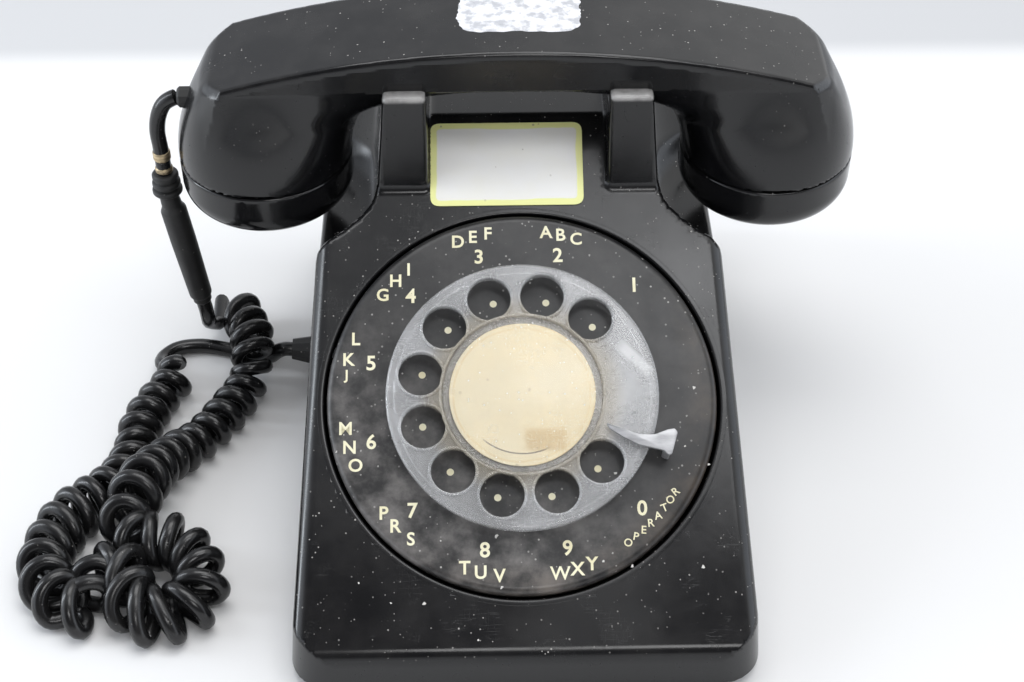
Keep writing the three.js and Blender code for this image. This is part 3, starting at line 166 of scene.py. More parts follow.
def relaxed(points, faces):
    """The points moved halfway to the middle of their neighbours."""
    starts = faces.reshape(-1)
    ends = np.roll(faces, -1, axis=1).reshape(-1)
    one, other = np.concatenate([starts, ends]), np.concatenate([ends, starts])
    counts = np.bincount(one, minlength=len(points))[:, None]
    sums = [np.bincount(one, weights=points[other, axis], minlength=len(points)) for axis in range(3)]
    return (points + np.stack(sums, axis=1) / counts) / 2


def skin(name, form, axes, place=None, rounds=3):
    """An even mesh over the surface of a form, with the form's own normals."""
    grid = np.stack(np.meshgrid(*axes, indexing="ij"), axis=-1)
    values = form(grid.reshape(-1, 3)).reshape(grid.shape[:3])
    inside = values < 0
    cells = tuple(count - 1 for count in inside.shape)
    total = np.zeros(cells + (3,))
    count = np.zeros(cells)
    quads = []
    for axis in range(3):
        start, end = along_axis(axis, slice(0, -1)), along_axis(axis, slice(1, None))
        crossed = inside[start] != inside[end]
        share = np.where(crossed, values[start] / np.where(crossed, values[start] - values[end], 1), 0)
        crossing = grid[start] + share[..., None] * (grid[end] - grid[start])
        one, two = (axis + 1) % 3, (axis + 2) % 3
        for low in (0, 1):
            for high in (0, 1):
                part = list(along_axis(one, slice(low, low + cells[one])))
                part[two] = slice(high, high + cells[two])
                part = tuple(part)
                total += np.where(crossed[part][..., None], crossing[part], 0)
                count += crossed[part]
        spots = np.argwhere(crossed)
        step = np.eye(3, dtype=int)
        quads.append((spots, inside[start][crossed], step[one], step[two]))
    used = count > 0
    number = np.full(cells, -1)
    number[used] = np.arange(used.sum())
    points = total[used] / count[used][:, None]
    faces = []
    for spots, outward, one, two in quads:
        corners = [spots - one - two, spots - two, spots, spots - one]
        loops = np.stack([number[tuple(corner.T)] for corner in corners], axis=1)
        faces.append(np.where(outward[:, None], loops, loops[:, ::-1]))
    faces = np.vstack(faces)
    for _ in range(rounds):
        points = drawn_onto(form, relaxed(points, faces))
    normals = slope_at(form, points)
    normals /= np.linalg.norm(normals, axis=1)[:, None]
    if place is not None:
        normals = place(normals) - place(np.zeros((1, 3)))
        points = place(points)
    return mesh_object(name, points, faces, normals)


def eased(corners, steps=5):
    """A closed outline whose corners (a, b, radius) are rounded."""
    points = []
    count = len(corners)
    for i, (a, b, radius) in enumerate(corners):
        here = np.array([a, b], float)
        before = np.array(corners[i - 1][:2], float) - here
        after = np.array(corners[(i + 1) % count][:2], float) - here
        lengths = np.linalg.norm(before), np.linalg.norm(after)
        if not radius:
            points.append(here)
            continue
        half = math.acos(np.clip(before @ after / (lengths[0] * lengths[1]), -1, 1)) / 2
        reach = min(radius / math.tan(half), lengths[0] / 2, lengths[1] / 2)
        start, end = here + before / lengths[0] * reach, here + after / lengths[1] * reach
        for t in np.linspace(0, 1, steps + 1):
            points.append((1 - t) ** 2 * start + 2 * t * (1 - t) * here + t**2 * end)
    return np.array(points)


def turned(name, profile, sides=96, place=None):
    """A closed profile of (radius, height) spun round Z; points on the axis are shared."""
    profile = np.array(profile, float)
    if polygon_area(profile) < 0:
        profile = profile[::-1]
    angles = np.arange(sides) * 2 * math.pi / sides
    points, rows = [], []
    for radius, height in profile:
        if radius < 1e-6:
            rows.append([len(points)] * sides)
            points.append((0, 0, height))
            continue
        rows.append(list(range(len(points), len(points) + sides)))
        points += [(radius * math.cos(angle), radius * math.sin(angle), height) for angle in angles]
    faces = []
    for row, above in zip(rows, rows[1:] + rows[:1]):
        for i in range(sides):
            j = (i + 1) % sides
            face = [row[i], row[j], above[j], above[i]]
            face = [corner for k, corner in enumerate(face) if corner != face[k - 1]]
            if len(face) > 2:
                faces.append(face)
    points = np.array(points)
    return mesh_object(name, place(points) if place else points, faces)


def polygon_area(points):
    following = np.roll(points, -1, axis=0)
    return (points[:, 0] * following[:, 1] - points[:, 1] * following[:, 0]).sum() / 2


def bands(rings, size, first=0):
    """Faces between neighbouring closed rings of that many points, numbered on from the first point."""
    faces = []
    for ring in range(rings - 1):
        here, above = first + ring * size, first + (ring + 1) * size
        for i in range(size):
            j = (i + 1) % size
            faces.append([here + i, above + i, above + j, here + j])
    return faces


def slab(name, outline, low, high, bevel, place):
    """A flat piece of the given outline, with its upper and lower edges eased."""
    outline = np.array(outline, float)
    if polygon_area(outline) < 0:
        outline = outline[::-1]
    run = np.roll(outline, -1, axis=0) - np.roll(outline, 1, axis=0)
    run /= np.linalg.norm(run, axis=1)[:, None]
    inward = np.stack([-run[:, 1], run[:, 0]], axis=1)
    share = 1 - math.sqrt(0.5)
    levels = [(low, 1), (low + bevel * share, share), (low + bevel, 0)]
    levels += [(high - bevel, 0), (high - bevel * share, share), (high, 1)]
    size = len(outline)
    rings = [np.column_stack([outline + inward * bevel * inset, np.full(size, z)]) for z, inset in levels]
    faces = [list(range(size))[::-1], [(len(levels) - 1) * size + i for i in range(size)]]
    faces += [[a, d, c, b] for a, b, c, d in bands(len(levels), size)]
    return mesh_object(name, place(np.vstack(rings)), faces)


def shifted(*move):
    """Moves a piece made at the origin."""
    return lambda points: points + np.array(move, float)


# Cord, in millimetres. Its leads and the run beside the telephone follow the CAD part's route. In the heap,
# where the CAD part has one bundle, the coil goes on along a route of its own.
WIRE = 5.0
CURL = 14.6
COIL_RISE = 6.6
TURNS_PER_MM = 1 / 7.0
POINTS_PER_TURN = 26
POINT_STEP = 1.2
TUBE_SIDES = 12
FLOOR_GAP = 0.4
HEAP_START = -8
HEAP_RUN = 30
# The coil's first turns are drawn out: how many, their pace, and how fast it grows to the full pace
OPEN_TURNS = 1.7
OPEN_PACE = 0.38
PACE_GAIN = 0.6
# How far the turns lean towards the viewer: in the open turns, when and over how many turns that fades, and
# in the heap
OPEN_FACING = 0.9
FADE_START = 1.6
FADE_RUN = 1.4
HEAP_FACING = 0.55
LEAD_ROUTE = [
    (-104.4, 40.5, 107.5), (-104.8, 40.5, 107.4), (-108, 40.5, 105.4), (-110.4, 40.5, 101),
    (-111.7, 40.5, 95), (-111.6, 40.5, 89), (-111.6, 40.5, 80), (-111.6, 40.5, 70), (-109, 40.5, 47.5),
]
TAIL_ROUTE = [
    (-106, 40.5, 24.5), (-105.5, 40.5, 20.6), (-105.6, 42, 15), (-105.9, 45, 10.4), (-104.4, 47.6, 7.6),
    (-103.1, 48.3, 6.8),
]
# A point without a height is on the floor
COIL_ROUTE = [(*point, COIL_RISE)[:3] for point in (
    (-98.6, 61.5, 7.2), (-97.4, 55.6, 7.6), (-94.4, 47, 9.4), (-90.9, 38.5, 12), (-89.8, 31, 12),
    (-89.4, 24.2, 10.6), (-90.3, 18.4, 7.6), (-93.2, 10.8), (-96.6, 3.8), (-100.5, -3), (-105.3, -9.6),
    (-110.6, -17, 9), (-115.1, -26.9, 13), (-118.6, -37.9, 15), (-121.4, -47, 13), (-118, -53, 10.6),
    (-112, -53.4, 10), (-105.4, -54.6, 10), (-99, -61, 9), (-96.4, -70, 7.6), (-100.6, -77.2),
    (-110, -79.4), (-117, -75, 8.6), (-118, -68, 10.6), (-121, -63, 9.6), (-127, -64, 8),
    (-129, -70, 7.4), (-130, -76), (-135.4, -75.4), (-142, -68), (-145, -59), (-144, -50.4), (-141, -43),
    (-136.5, -36.4), (-131.3, -30.8), (-126.4, -23.5), (-124.4, -13), (-124.3, -5), (-122.8, 2),
    (-120.8, 8), (-118.5, 13.4), (-116, 19), (-114.6, 24.4),
)]
BASE_ROUTE = [
    (-117.2, 27.8, 6), (-120.8, 29.6, 4.8), (-121.6, 34.8, 3), (-117.4, 39.8, 2.7), (-109.8, 41.2, 2.7),
    (-100.6, 39.3, 2.7), (-90, 35.4, 2.8), (-84.6, 33.6, 4.4), (-81.6, 32.4, 7.8), (-78.8, 31.6, 9.6),
    (-75, 31.6, 9.3),
]


def between(t, one, other, start, end):
    return ((end - t) * one + (t - start) * other) / (end - start)


def smooth_line(points, step):
    """A centripetal Catmull-Rom line through the points, resampled at an even step."""
    given = np.array(points, float)
    ends = np.vstack([2 * given[0] - given[1], given, 2 * given[-1] - given[-2]])
    line = []
    for before, start, end, after in zip(ends, ends[1:], ends[2:], ends[3:]):
        knots = [0.0]
        for one, two in ((before, start), (start, end), (end, after)):
            knots.append(knots[-1] + np.linalg.norm(two - one) ** 0.5)
        corners = before, start, end, after
        for t in np.linspace(knots[1], knots[2], 24, endpoint=False):
            sides = [between(t, *run) for run in zip(corners, corners[1:], knots, knots[1:])]
            bends = [between(t, *run) for run in zip(sides, sides[1:], knots, knots[2:])]
            line.append(between(t, *bends, knots[1], knots[2]))
    line.append(given[-1])
    return resampled(np.array(line), step)


def resampled(line, step):
    runs = np.linalg.norm(np.diff(line, axis=0), axis=1)
    along = np.concatenate([[0.0], np.cumsum(runs)])
    count = max(2, int(round(along[-1] / step)) + 1)
    places = np.linspace(0, along[-1], count)
    return np.stack([np.interp(places, along, line[:, axis]) for axis in range(3)], axis=1)


def carried_frames(line):
    """Tangents and two side directions that turn as little as they can along the line."""
    tangents = np.gradient(line, axis=0)
    tangents /= np.linalg.norm(tangents, axis=1)[:, None]
    side = np.cross(tangents[0], (0.0, 0.0, 1.0))
    if np.linalg.norm(side) < 0.1:
        side = np.cross(tangents[0], (0.0, 1.0, 0.0))
    sides = []
    for tangent in tangents:
        side = side - tangent * np.dot(side, tangent)
        side = side / np.linalg.norm(side)
        sides.append(side)
    sides = np.array(sides)
    return tangents, sides, np.cross(tangents, sides)


def helix(route):
    """A curl wound round the route: open at its start, wider and uneven in the heap, clear of the floor."""
    step = 1 / (TURNS_PER_MM * POINTS_PER_TURN)
    line = smooth_line(route, step)
    tangents, sides, ups = carried_frames(line)
    full_turns = np.arange(len(line)) / POINTS_PER_TURN
    pace = np.clip(OPEN_PACE + (full_turns - OPEN_TURNS) * PACE_GAIN, OPEN_PACE, 1)
    turns = np.cumsum(pace) / POINTS_PER_TURN
    angle = 2 * math.pi * turns
    in_heap = np.clip((HEAP_START - line[:, 1]) / HEAP_RUN, 0, 1)
    sway = np.sin(turns * 0.9) + np.sin(turns * 0.37 + 1) + np.sin(turns * 1.73 + 2)
    radius = (CURL - WIRE) / 2 * (1 + 0.04 * sway + 0.22 * in_heap * (1 + 0.3 * np.sin(turns * 0.61)))
    lean = radius * (0.16 * np.sin(turns * 0.53) + 0.34 * in_heap * np.sin(turns * 0.29 + 0.7))
    curl = line + radius[:, None] * (np.cos(angle)[:, None] * sides + np.sin(angle)[:, None] * ups)
    curl += (lean * np.cos(angle + 0.8))[:, None] * tangents
    facing = OPEN_FACING * np.clip(1 - (full_turns - FADE_START) / FADE_RUN, 0, 1) + HEAP_FACING * in_heap
    rise = (curl[:, 2] - line[:, 2]) / np.sqrt(1 + facing**2)
    curl[:, 1] += facing * rise
    curl[:, 2] = line[:, 2] + rise
    lowest = WIRE / 2 + FLOOR_GAP
    curl[:, 2] = np.where(curl[:, 2] < lowest, lowest + 0.04 * (curl[:, 2] - lowest), curl[:, 2])
    return curl


def tube_mesh(name, line, diameter):
    """A round tube along a line of points, closed at both ends."""
    _, sides, ups = carried_frames(line)
    angles = np.arange(TUBE_SIDES) * 2 * math.pi / TUBE_SIDES
    ring = np.cos(angles)[None, :, None] * sides[:, None, :] + np.sin(angles)[None, :, None] * ups[:, None, :]
    points = (line[:, None, :] + ring * diameter / 2).reshape(-1, 3)
    last = (len(line) - 1) * TUBE_SIDES
    ends = [list(range(TUBE_SIDES)), list(range(last, last + TUBE_SIDES))[::-1]]
    return mesh_object(name, points, bands(len(line), TUBE_SIDES) + ends)


def make_cord():
    lead, base = smooth_line(LEAD_ROUTE + TAIL_ROUTE, POINT_STEP), smooth_line(BASE_ROUTE, POINT_STEP)
    line = resampled(np.vstack([lead, helix(COIL_ROUTE), base]), POINT_STEP)
    cord = tube_mesh("cord", line, WIRE)
    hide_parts("handset_lead", "cord_tail", "cord_coil_a", "cord_coil_b", "cord_bundle", "base_lead")
    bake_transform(cord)


# Housing: its planes and sizes are those of the CAD part, in millimetres
HALF_DEPTH = 104.5
FOOT_HALF_WIDTH = 68
SIDE_SLOPE = math.tan(math.radians(5.1))
SIDE_EDGE = 4.2
FOOT = 2.6
WALL = 2.6
FOOT_WALL = 4.6
FACE_SLOPE = math.atan2(85.5, 141.73)
FACE_FOOT = (-103.5, 15.8)
FACE_TOP = (38.23, 101.3)
DECK_REAR = (64, 101.3)
KNEE = (92, 62)
# Edges across the telephone: radius, and the turn between their planes in degrees
FRONT_EDGE = (6, 54.5)
DECK_EDGE = (4.6, 31.1)
REAR_EDGE = (16, 54.5)
KNEE_EDGE = (40, 23.6)
PLAN_CORNER = 12
FOOT_EDGE = 0.8
CUP_X = 78.5
HANDSET_Y = 40.5
SCOOP_RADIUS = 39.5
SCOOP_FLOOR = 61
SCOOP_CORNER = 10
SCOOP_FLARE = 0.2
SCOOP_LIP = 2.2
SCOOP_END = 3
TOWER_HALF_WIDTH = 39.8
TOWER_ROOT = 20
TOWER_FILLET = 1.5
EAR_WIDTH = 12.6
EAR_FRONT = 18.3
EAR_REAR = 63.4
EAR_TOPS = (121.3, 124)
EAR_LEAN = 0.03
EAR_TAPER = 0.09
EAR_EDGE = 1.3
SADDLE_GAP = 0.9
SADDLE_CORNER = 2.2
PLUNGER_BORE = 3.55
PLUNGER_DEPTH = 10
DIAL_PLACE = np.array([0, -40.896, 56.251])
DIAL_HOLE = 58.2
DIAL_LIP = 0.8
DIAL_DEPTH = 12
FACE_LEVEL = -2.3
BOSS_YS = (-88.5, 88.5)
BOSS_RADIUS = 5.2
SCREW_BORE = 2.3
SCREW_DEPTH = 8.5
TRAY_TOP = 5.8

# Handset, in millimetres
ARCH_RADIUS = 313
HANDLE_TOP = 134.5
HANDLE_THICKNESS = 18.5
TOP_HALF_WIDTH = 16.8
UNDER_HALF_WIDTH = 12
FLANK_SLOPE = (TOP_HALF_WIDTH - UNDER_HALF_WIDTH) / HANDLE_THICKNESS
STRAP_EDGE = 3
STRAP_INSET = 8
END_X = 93.5
END_HEIGHT = 120.4
END_CORNER = 7
CUP_RADIUS = 27
CUP_WALL = 3.2
CUP_DEPTH = 8
CUP_FILLET = 9
SEAM = 88.4
SEAM_EDGE = 0.6
CAP_FACE = 71.5
CAP_TOP = 88.1
CAP_WALL = 2.6
CAP_CORNER = 9
CAP_INNER_CORNER = 7
CAP_EDGE = 0.7
RIDGE = 2.3


def on_dial(points):
    """From the dial's own frame, its origin on the number plate's top, to the telephone's."""
    across, up, out = np.array(points, float).T
    sine, cosine = math.sin(FACE_SLOPE), math.cos(FACE_SLOPE)
    return np.stack([across, up * cosine - out * sine, up * sine + out * cosine], axis=1) + DIAL_PLACE


def off_dial(points):
    offset = points - DIAL_PLACE
    sine, cosine = math.sin(FACE_SLOPE), math.cos(FACE_SLOPE)
    return np.stack([
        offset[:, 0],
        offset[:, 1] * cosine + offset[:, 2] * sine,
        offset[:, 2] * cosine - offset[:, 1] * sine,
    ], axis=1)


def above_arch(points):
    """Distance above the handset's arched back."""
    return np.hypot(points[:, 0], points[:, 2] - HANDLE_TOP + ARCH_RADIUS) - ARCH_RADIUS


def bare_body(points):
    """The moulded body without its cradle, open below."""
    x, z = np.abs(points[:, 0]), points[:, 2]
    side = (x - FOOT_HALF_WIDTH + (z - FOOT) * SIDE_SLOPE) / math.hypot(1, SIDE_SLOPE)
    front = beyond(points, FACE_FOOT, (-HALF_DEPTH, FOOT))
    rear = beyond(points, (HALF_DEPTH, FOOT), KNEE)
    form = shared(front, beyond(points, FACE_TOP, FACE_FOOT), *FRONT_EDGE)
    form = shared(form, z - FACE_TOP[1], *DECK_EDGE)
    form = shared(form, beyond(points, KNEE, DECK_REAR), *REAR_EDGE)
    form = shared(form, rear, *KNEE_EDGE)
    form = shared(form, side, SIDE_EDGE)
    corners = np.maximum(shared(front, side, PLAN_CORNER), shared(rear, side, PLAN_CORNER))
    form = np.maximum(form, corners)
    return shared(form, -scoop(points), SCOOP_LIP)


def scoop(points):
    """The round hollow beside the cradle, on both sides."""
    x, y, z = np.abs(points[:, 0]), points[:, 1], points[:, 2]
    reach = SCOOP_RADIUS + SCOOP_FLARE * (z - SCOOP_FLOOR - SCOOP_CORNER)
    wall = (np.hypot(x - CUP_X, y - HANDSET_Y) - reach) / math.hypot(1, SCOOP_FLARE)
    bowl = shared(wall, SCOOP_FLOOR - z, SCOOP_CORNER)
    return shared(bowl, TOWER_HALF_WIDTH + EAR_TAPER * (EAR_TOPS[0] - z) - x, SCOOP_END)


def ears(points):
    """The two towers with their front and rear ears, and the saddle between them."""
    x, y, z = np.abs(points[:, 0]), points[:, 1], points[:, 2]
    top = np.where(y < HANDSET_Y, *EAR_TOPS)
    drop = top - z
    outer = x - TOWER_HALF_WIDTH - EAR_TAPER * drop
    inner = TOWER_HALF_WIDTH - EAR_WIDTH - x
    front = EAR_FRONT - EAR_LEAN * drop - y
    rear = y - EAR_REAR - EAR_LEAN * drop
    form = shared(np.maximum(outer, inner), np.maximum(front, rear), EAR_EDGE)
    form = shared(form, -drop, EAR_EDGE)
    under = above_arch(np.column_stack([np.full(len(x), float(TOWER_HALF_WIDTH)), y, z])) + HANDLE_THICKNESS
    saddle_side = np.abs(y - HANDSET_Y) - UNDER_HALF_WIDTH - SADDLE_GAP - FLANK_SLOPE * under
    saddle = shared(saddle_side / math.hypot(1, FLANK_SLOPE), -under - SADDLE_GAP, SADDLE_CORNER)
    form = shared(form, -saddle, EAR_EDGE)
    return np.maximum(form, FACE_TOP[1] - TOWER_ROOT - z)


def housing_form(points):
    body = bare_body(points)
    y, z = points[:, 1], points[:, 2]
    form = merged(body, np.maximum(ears(points), -body - 2 * WALL), TOWER_FILLET)
    room = body + np.clip(z / 3, WALL, FOOT_WALL)
    for boss_y in BOSS_YS:
        away = np.hypot(points[:, 0], y - boss_y)
        room = np.maximum(room, -np.maximum(away - BOSS_RADIUS, TRAY_TOP - z))
    form = np.maximum(form, -room)
    for boss_y in BOSS_YS:
        away = np.hypot(points[:, 0], y - boss_y)
        form = np.maximum(form, -np.maximum(away - SCREW_BORE, z - TRAY_TOP - SCREW_DEPTH))
    across, up, out = off_dial(points).T
    opening = np.maximum(np.hypot(across, up) - DIAL_HOLE - DIAL_LIP / 2, -out - DIAL_DEPTH)
    form = np.maximum(form, -opening)
    plunger = np.hypot(np.abs(points[:, 0]) - TOWER_HALF_WIDTH + EAR_WIDTH / 2, y - HANDSET_Y) - PLUNGER_BORE
    form = np.maximum(form, -np.maximum(plunger, FACE_TOP[1] - PLUNGER_DEPTH - z))
    return shared(form, FOOT - z, FOOT_EDGE)


def make_housing():
    axes = [
        spaced(-70, 70, 1.6, [(-70, -56, 1.2), (-43.5, -25.5, 1.2), (25.5, 43.5, 1.2), (56, 70, 1.2)]),
        spaced(-107, 107, 1.6, [(-107, -98, 1.2), (16, 28, 1.2), (53, 66, 1.3), (98, 107, 1.2)]),
        spaced(0.4, 126, 1.6, [(0.4, 6, 1.2), (84, 126, 1.4)]),
    ]
    housing = skin("moulded_housing", housing_form, axes)
    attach(housing, "base")
    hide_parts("housing")
    outer = DIAL_HOLE + 2.5 * DIAL_LIP
    profile = [
        (DIAL_HOLE, FACE_LEVEL - 4.4, 0.3), (outer, FACE_LEVEL - 1.5, 0.3),
        (outer, FACE_LEVEL + 0.1, 0.12), (DIAL_HOLE, FACE_LEVEL + 0.1, 0.9),
    ]
    edge = turned("opening_edge", eased(profile, 6), 200, on_dial)
    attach(edge, "base")


def handle_form(points):
    x, y, z = np.abs(points[:, 0]), np.abs(points[:, 1] - HANDSET_Y), points[:, 2]
    over = above_arch(points)
    flank = (y - TOP_HALF_WIDTH - FLANK_SLOPE * over) / math.hypot(1, FLANK_SLOPE)
    strap = shared(flank, -over - HANDLE_THICKNESS, STRAP_EDGE)
    strap = np.maximum(strap, x - END_X + STRAP_INSET)
    rise = np.clip((z - SEAM) / (END_HEIGHT - SEAM), 0, 1) ** 2
    away = np.stack([x - END_X + END_CORNER, y - TOP_HALF_WIDTH + END_CORNER])
    box = np.hypot(*np.maximum(away, 0)) + np.minimum(away.max(axis=0), 0) - END_CORNER
    cup = (1 - rise) * (np.hypot(x - CUP_X, y) - CUP_RADIUS) + rise * box
    form = merged(strap, cup, CUP_FILLET)
    form = shared(form, over, RIDGE)
    form = shared(form, SEAM - z, SEAM_EDGE)
    room = np.maximum(np.hypot(x - CUP_X, y) - CUP_RADIUS + CUP_WALL, z - SEAM - CUP_DEPTH)
    return np.maximum(form, -room)


def make_handle():
    axes = [spaced(-109, 109, 1.25), spaced(11, 70, 1.25), spaced(86.5, 137, 1.25)]
    handle = skin("handset_grip", handle_form, axes)
    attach(handle, "handset")
    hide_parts("handset_handle")


def make_cap(name, side, node):
    def form(points):
        across, z = np.hypot(points[:, 0] - side * CUP_X, points[:, 1] - HANDSET_Y), points[:, 2]
        outside = shared(across - CUP_RADIUS, CAP_FACE - z, CAP_CORNER)
        inside = shared(across - CUP_RADIUS + CAP_WALL, CAP_FACE + CAP_WALL - z, CAP_INNER_CORNER)
        shell = shared(outside, z - CAP_TOP, CAP_EDGE)
        return np.maximum(shell, -inside)

    x = side * CUP_X
    axes = [spaced(x - 29, x + 29, 0.9), spaced(HANDSET_Y - 29, HANDSET_Y + 29, 0.9), spaced(70, 90, 0.9)]
    cap = skin(name, form, axes)
    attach(cap, "handset")
    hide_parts(node)


# Dial, in millimetres, measured in its own frame
PLATE_RADIUS = 55.4
PLATE_ROLL = 1.9
PLATE_SKIRT = 5.5
PLATE_SHEET = 1.8
PLATE_BORE = 9
WHEEL_RADIUS = 39.7
WHEEL_BORE = 3.3
WHEEL_TOP = 6
WHEEL_SHEET = 2.4
WHEEL_SKIRT = 1.1
WHEEL_EDGE = 1.1
HOLE_EDGE = 0.4
HOLE_RADIUS = 6.4
HOLE_GAP = 0.25
HOLE_CIRCLE = 30.2
FIRST_HOLE = 48
RIM_WIDTH = 0.85
RIM_HEIGHT = 0.6
CARD_RADIUS = 21.2
CARD_RING = 24.2
CARD_RING_HEIGHT = 0.9
HOLE_ANGLES = [math.radians(FIRST_HOLE + 30 * i) for i in range(10)]


def make_plate():
    edge = PLATE_RADIUS + PLATE_ROLL
    inner = edge - PLATE_SHEET
    profile = [
        (PLATE_BORE, -PLATE_SHEET, 0), (inner, -PLATE_SHEET, 1), (inner, -PLATE_SKIRT, 0.3),
        (edge, -PLATE_SKIRT, 0.3), (edge, 0, 2.6), (PLATE_BORE, 0, 0.2),
    ]
    plate = turned("dial_plate", eased(profile, 8), 160, on_dial)
    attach(plate, "base")
    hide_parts("number_plate")


def wheel_form(points):
    x, y, z = points.T
    across = np.hypot(x, y)
    top = shared(across - WHEEL_RADIUS, z - WHEEL_TOP, WHEEL_EDGE)
    form = shared(top, WHEEL_TOP - WHEEL_SHEET - WHEEL_SKIRT - z, HOLE_EDGE)
    under = np.maximum(across - WHEEL_RADIUS + WHEEL_SHEET, z - WHEEL_TOP + WHEEL_SHEET)
    form = np.maximum(form, -under)
    for angle in HOLE_ANGLES:
        away = np.hypot(x - HOLE_CIRCLE * math.cos(angle), y - HOLE_CIRCLE * math.sin(angle))
        form = shared(form, -(away - HOLE_RADIUS - HOLE_GAP), HOLE_EDGE)
    recess = np.maximum(across - CARD_RING + RIM_WIDTH, WHEEL_TOP - WHEEL_SHEET / 2 - z)
    form = np.maximum(form, -recess)
    return np.maximum(form, WHEEL_BORE - across)


def make_wheel():
    axes = [spaced(-41, 41, 0.62), spaced(-41, 41, 0.62), spaced(1.6, 7, 0.4)]
    wheel = skin("clear_wheel", wheel_form, axes, on_dial, 2)
    pieces = [wheel]
    foot = WHEEL_TOP - WHEEL_SHEET + 0.4
    top = WHEEL_TOP + RIM_HEIGHT
    outer = HOLE_RADIUS + RIM_WIDTH
    rim = eased([(HOLE_RADIUS, foot, 0.2), (outer, foot, 0.2), (outer, top, 0.4), (HOLE_RADIUS, top, 0.4)], 4)
    for i, angle in enumerate(HOLE_ANGLES):
        place = np.array([HOLE_CIRCLE * math.cos(angle), HOLE_CIRCLE * math.sin(angle), 0])
        pieces.append(turned(f"hole_rim_{i}", rim, 40, lambda points, place=place: on_dial(points + place)))
    top = WHEEL_TOP + CARD_RING_HEIGHT
    inner = CARD_RING - RIM_WIDTH
    ring = [(inner, foot + 1, 0.2), (CARD_RING, foot + 1, 0.2), (CARD_RING, top, 0.4), (inner, top, 0.4)]
    pieces.append(turned("card_ring", eased(ring, 4), 96, on_dial))
    join(pieces)
    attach(wheel, "dial_wheel")
    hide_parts("finger_wheel")


def join(pieces):
    """Makes all the given meshes one, under the first one's name."""
    with bpy.context.temp_override(active_object=pieces[0], selected_editable_objects=pieces):
        bpy.ops.object.join()


def make_card():
    seat = WHEEL_TOP - WHEEL_SHEET / 2 + 0.3
    profile = [(0, seat), (CARD_RADIUS, seat), (CARD_RADIUS, seat + 0.6), (0, seat + 0.6)]
    card = turned("centre_card", profile, 96, on_dial)
    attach(card, "dial_wheel")
    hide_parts("number_card")
    radius = CARD_RING - RIM_WIDTH - 0.3
    foot = seat + 0.9
    shares = np.linspace(1, 0, 9)
    outer = [(radius * share, foot + 0.8 + 1.6 * (1 - share**2) * 0.9) for share in shares]
    inner = [(radius * 0.94 * share, foot + 1.6 * (1 - share**2) * 0.9) for share in shares[::-1]]
    window = turned("domed_window", inner + [(radius * 0.94, foot), (radius, foot)] + outer, 96, on_dial)
    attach(window, "dial_wheel")
    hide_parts("card_window")


STOP_BLADE = [
    (23.7, -9.4, 0.7), (33.3, -13, 6), (37.6, -13.1, 4), (41.4, -11.7, 3), (43.4, -11.4, 0.8),
    (44.2, -12.6, 0.8), (42.4, -18.7, 0.8), (41.5, -19.4, 0.6), (40, -17.9, 1), (37.5, -17.2, 4),
    (33.2, -16.2, 6), (29, -14.1, 6), (24.6, -11.2, 0.8),
]
STOP_LEG = [(41.7, -11.9, 0.5), (43.9, -12.5, 0.8), (41.9, -19.2, 0.8), (39.9, -18, 0.5)]
STOP_FOOT = WHEEL_TOP + RIM_HEIGHT + 1
STOP_SHEET = 1.3


def make_stop():
    blade = slab("stop_blade", eased(STOP_BLADE), STOP_FOOT, STOP_FOOT + STOP_SHEET, 0.35, on_dial)
    leg = slab("stop_leg", eased(STOP_LEG), 0.3, STOP_FOOT + 0.6, 0.3, on_dial)
    join([blade, leg])
    blade.name = "curved_stop"
    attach(blade, "base")
    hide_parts("finger_stop")


# Label between the ears: centre across and up the face, width, height and corner radius
LABEL = (-3.4, 74.5, 46.6, 27, 3)
LABEL_BORDER = 1.9
LABEL_LEVELS = (-2.15, -1.85)


def make_label():
    x, up, width, height, corner = LABEL
    w, h = width / 2, height / 2
    outline = eased([(-w, -h, corner), (w, -h, corner), (w, h, corner), (-w, h, corner)], 6)
    label = slab("blank_label", outline + np.array([x, up]), *LABEL_LEVELS, 0.1, on_dial)
    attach(label, "base")
    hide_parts("cradle_label")


# Printed marks on the number plate. Angles are in degrees from the right.
MARK_LIFT = 0.06
DOT_RADIUS = 1.05
DOT_CORNERS = 24
DIGIT_HEIGHT = 4.5
LETTER_HEIGHT = 3.9
SMALL_HEIGHT = 2.3
LETTER_CIRCLE = 52.2
# How much the strokes are thickened, as a share of the letter's size
STROKE = 0.022
WIDE_LETTER_STROKE = 0.012
SMALL_STROKE = 0.014
FIRST_MARK = 45.5
DIGIT_PLACES = [("I", FIRST_MARK, 48.5), ("0", -44, 47.2)]
DIGIT_PLACES += [(str(i + 1), FIRST_MARK + 30 * i, 45.7) for i in range(1, 9)]
LETTER_ANGLES = {
    "ABC": (81.1, 76.1, 70.9), "DEF": (110.6, 105.4, 100.3), "GHI": (141.6, 135.2, 129.5),
    "LKJ": (158.8, 166, 171.7), "MNO": (189, 195.3, 201.5), "PRS": (219.5, 225.1, 231.4),
    "TUV": (250.7, 255.9, 261.9), "WXY": (281, 286.6, 291.4),
}
SMALL_WORD = "OPERATOR"
SMALL_START = -55.3
SMALL_STEP = 3.24
SMALL_CIRCLE = 52
SMALL_TILTS = [math.radians(8 * i - 20) for i in range(len(SMALL_WORD))]


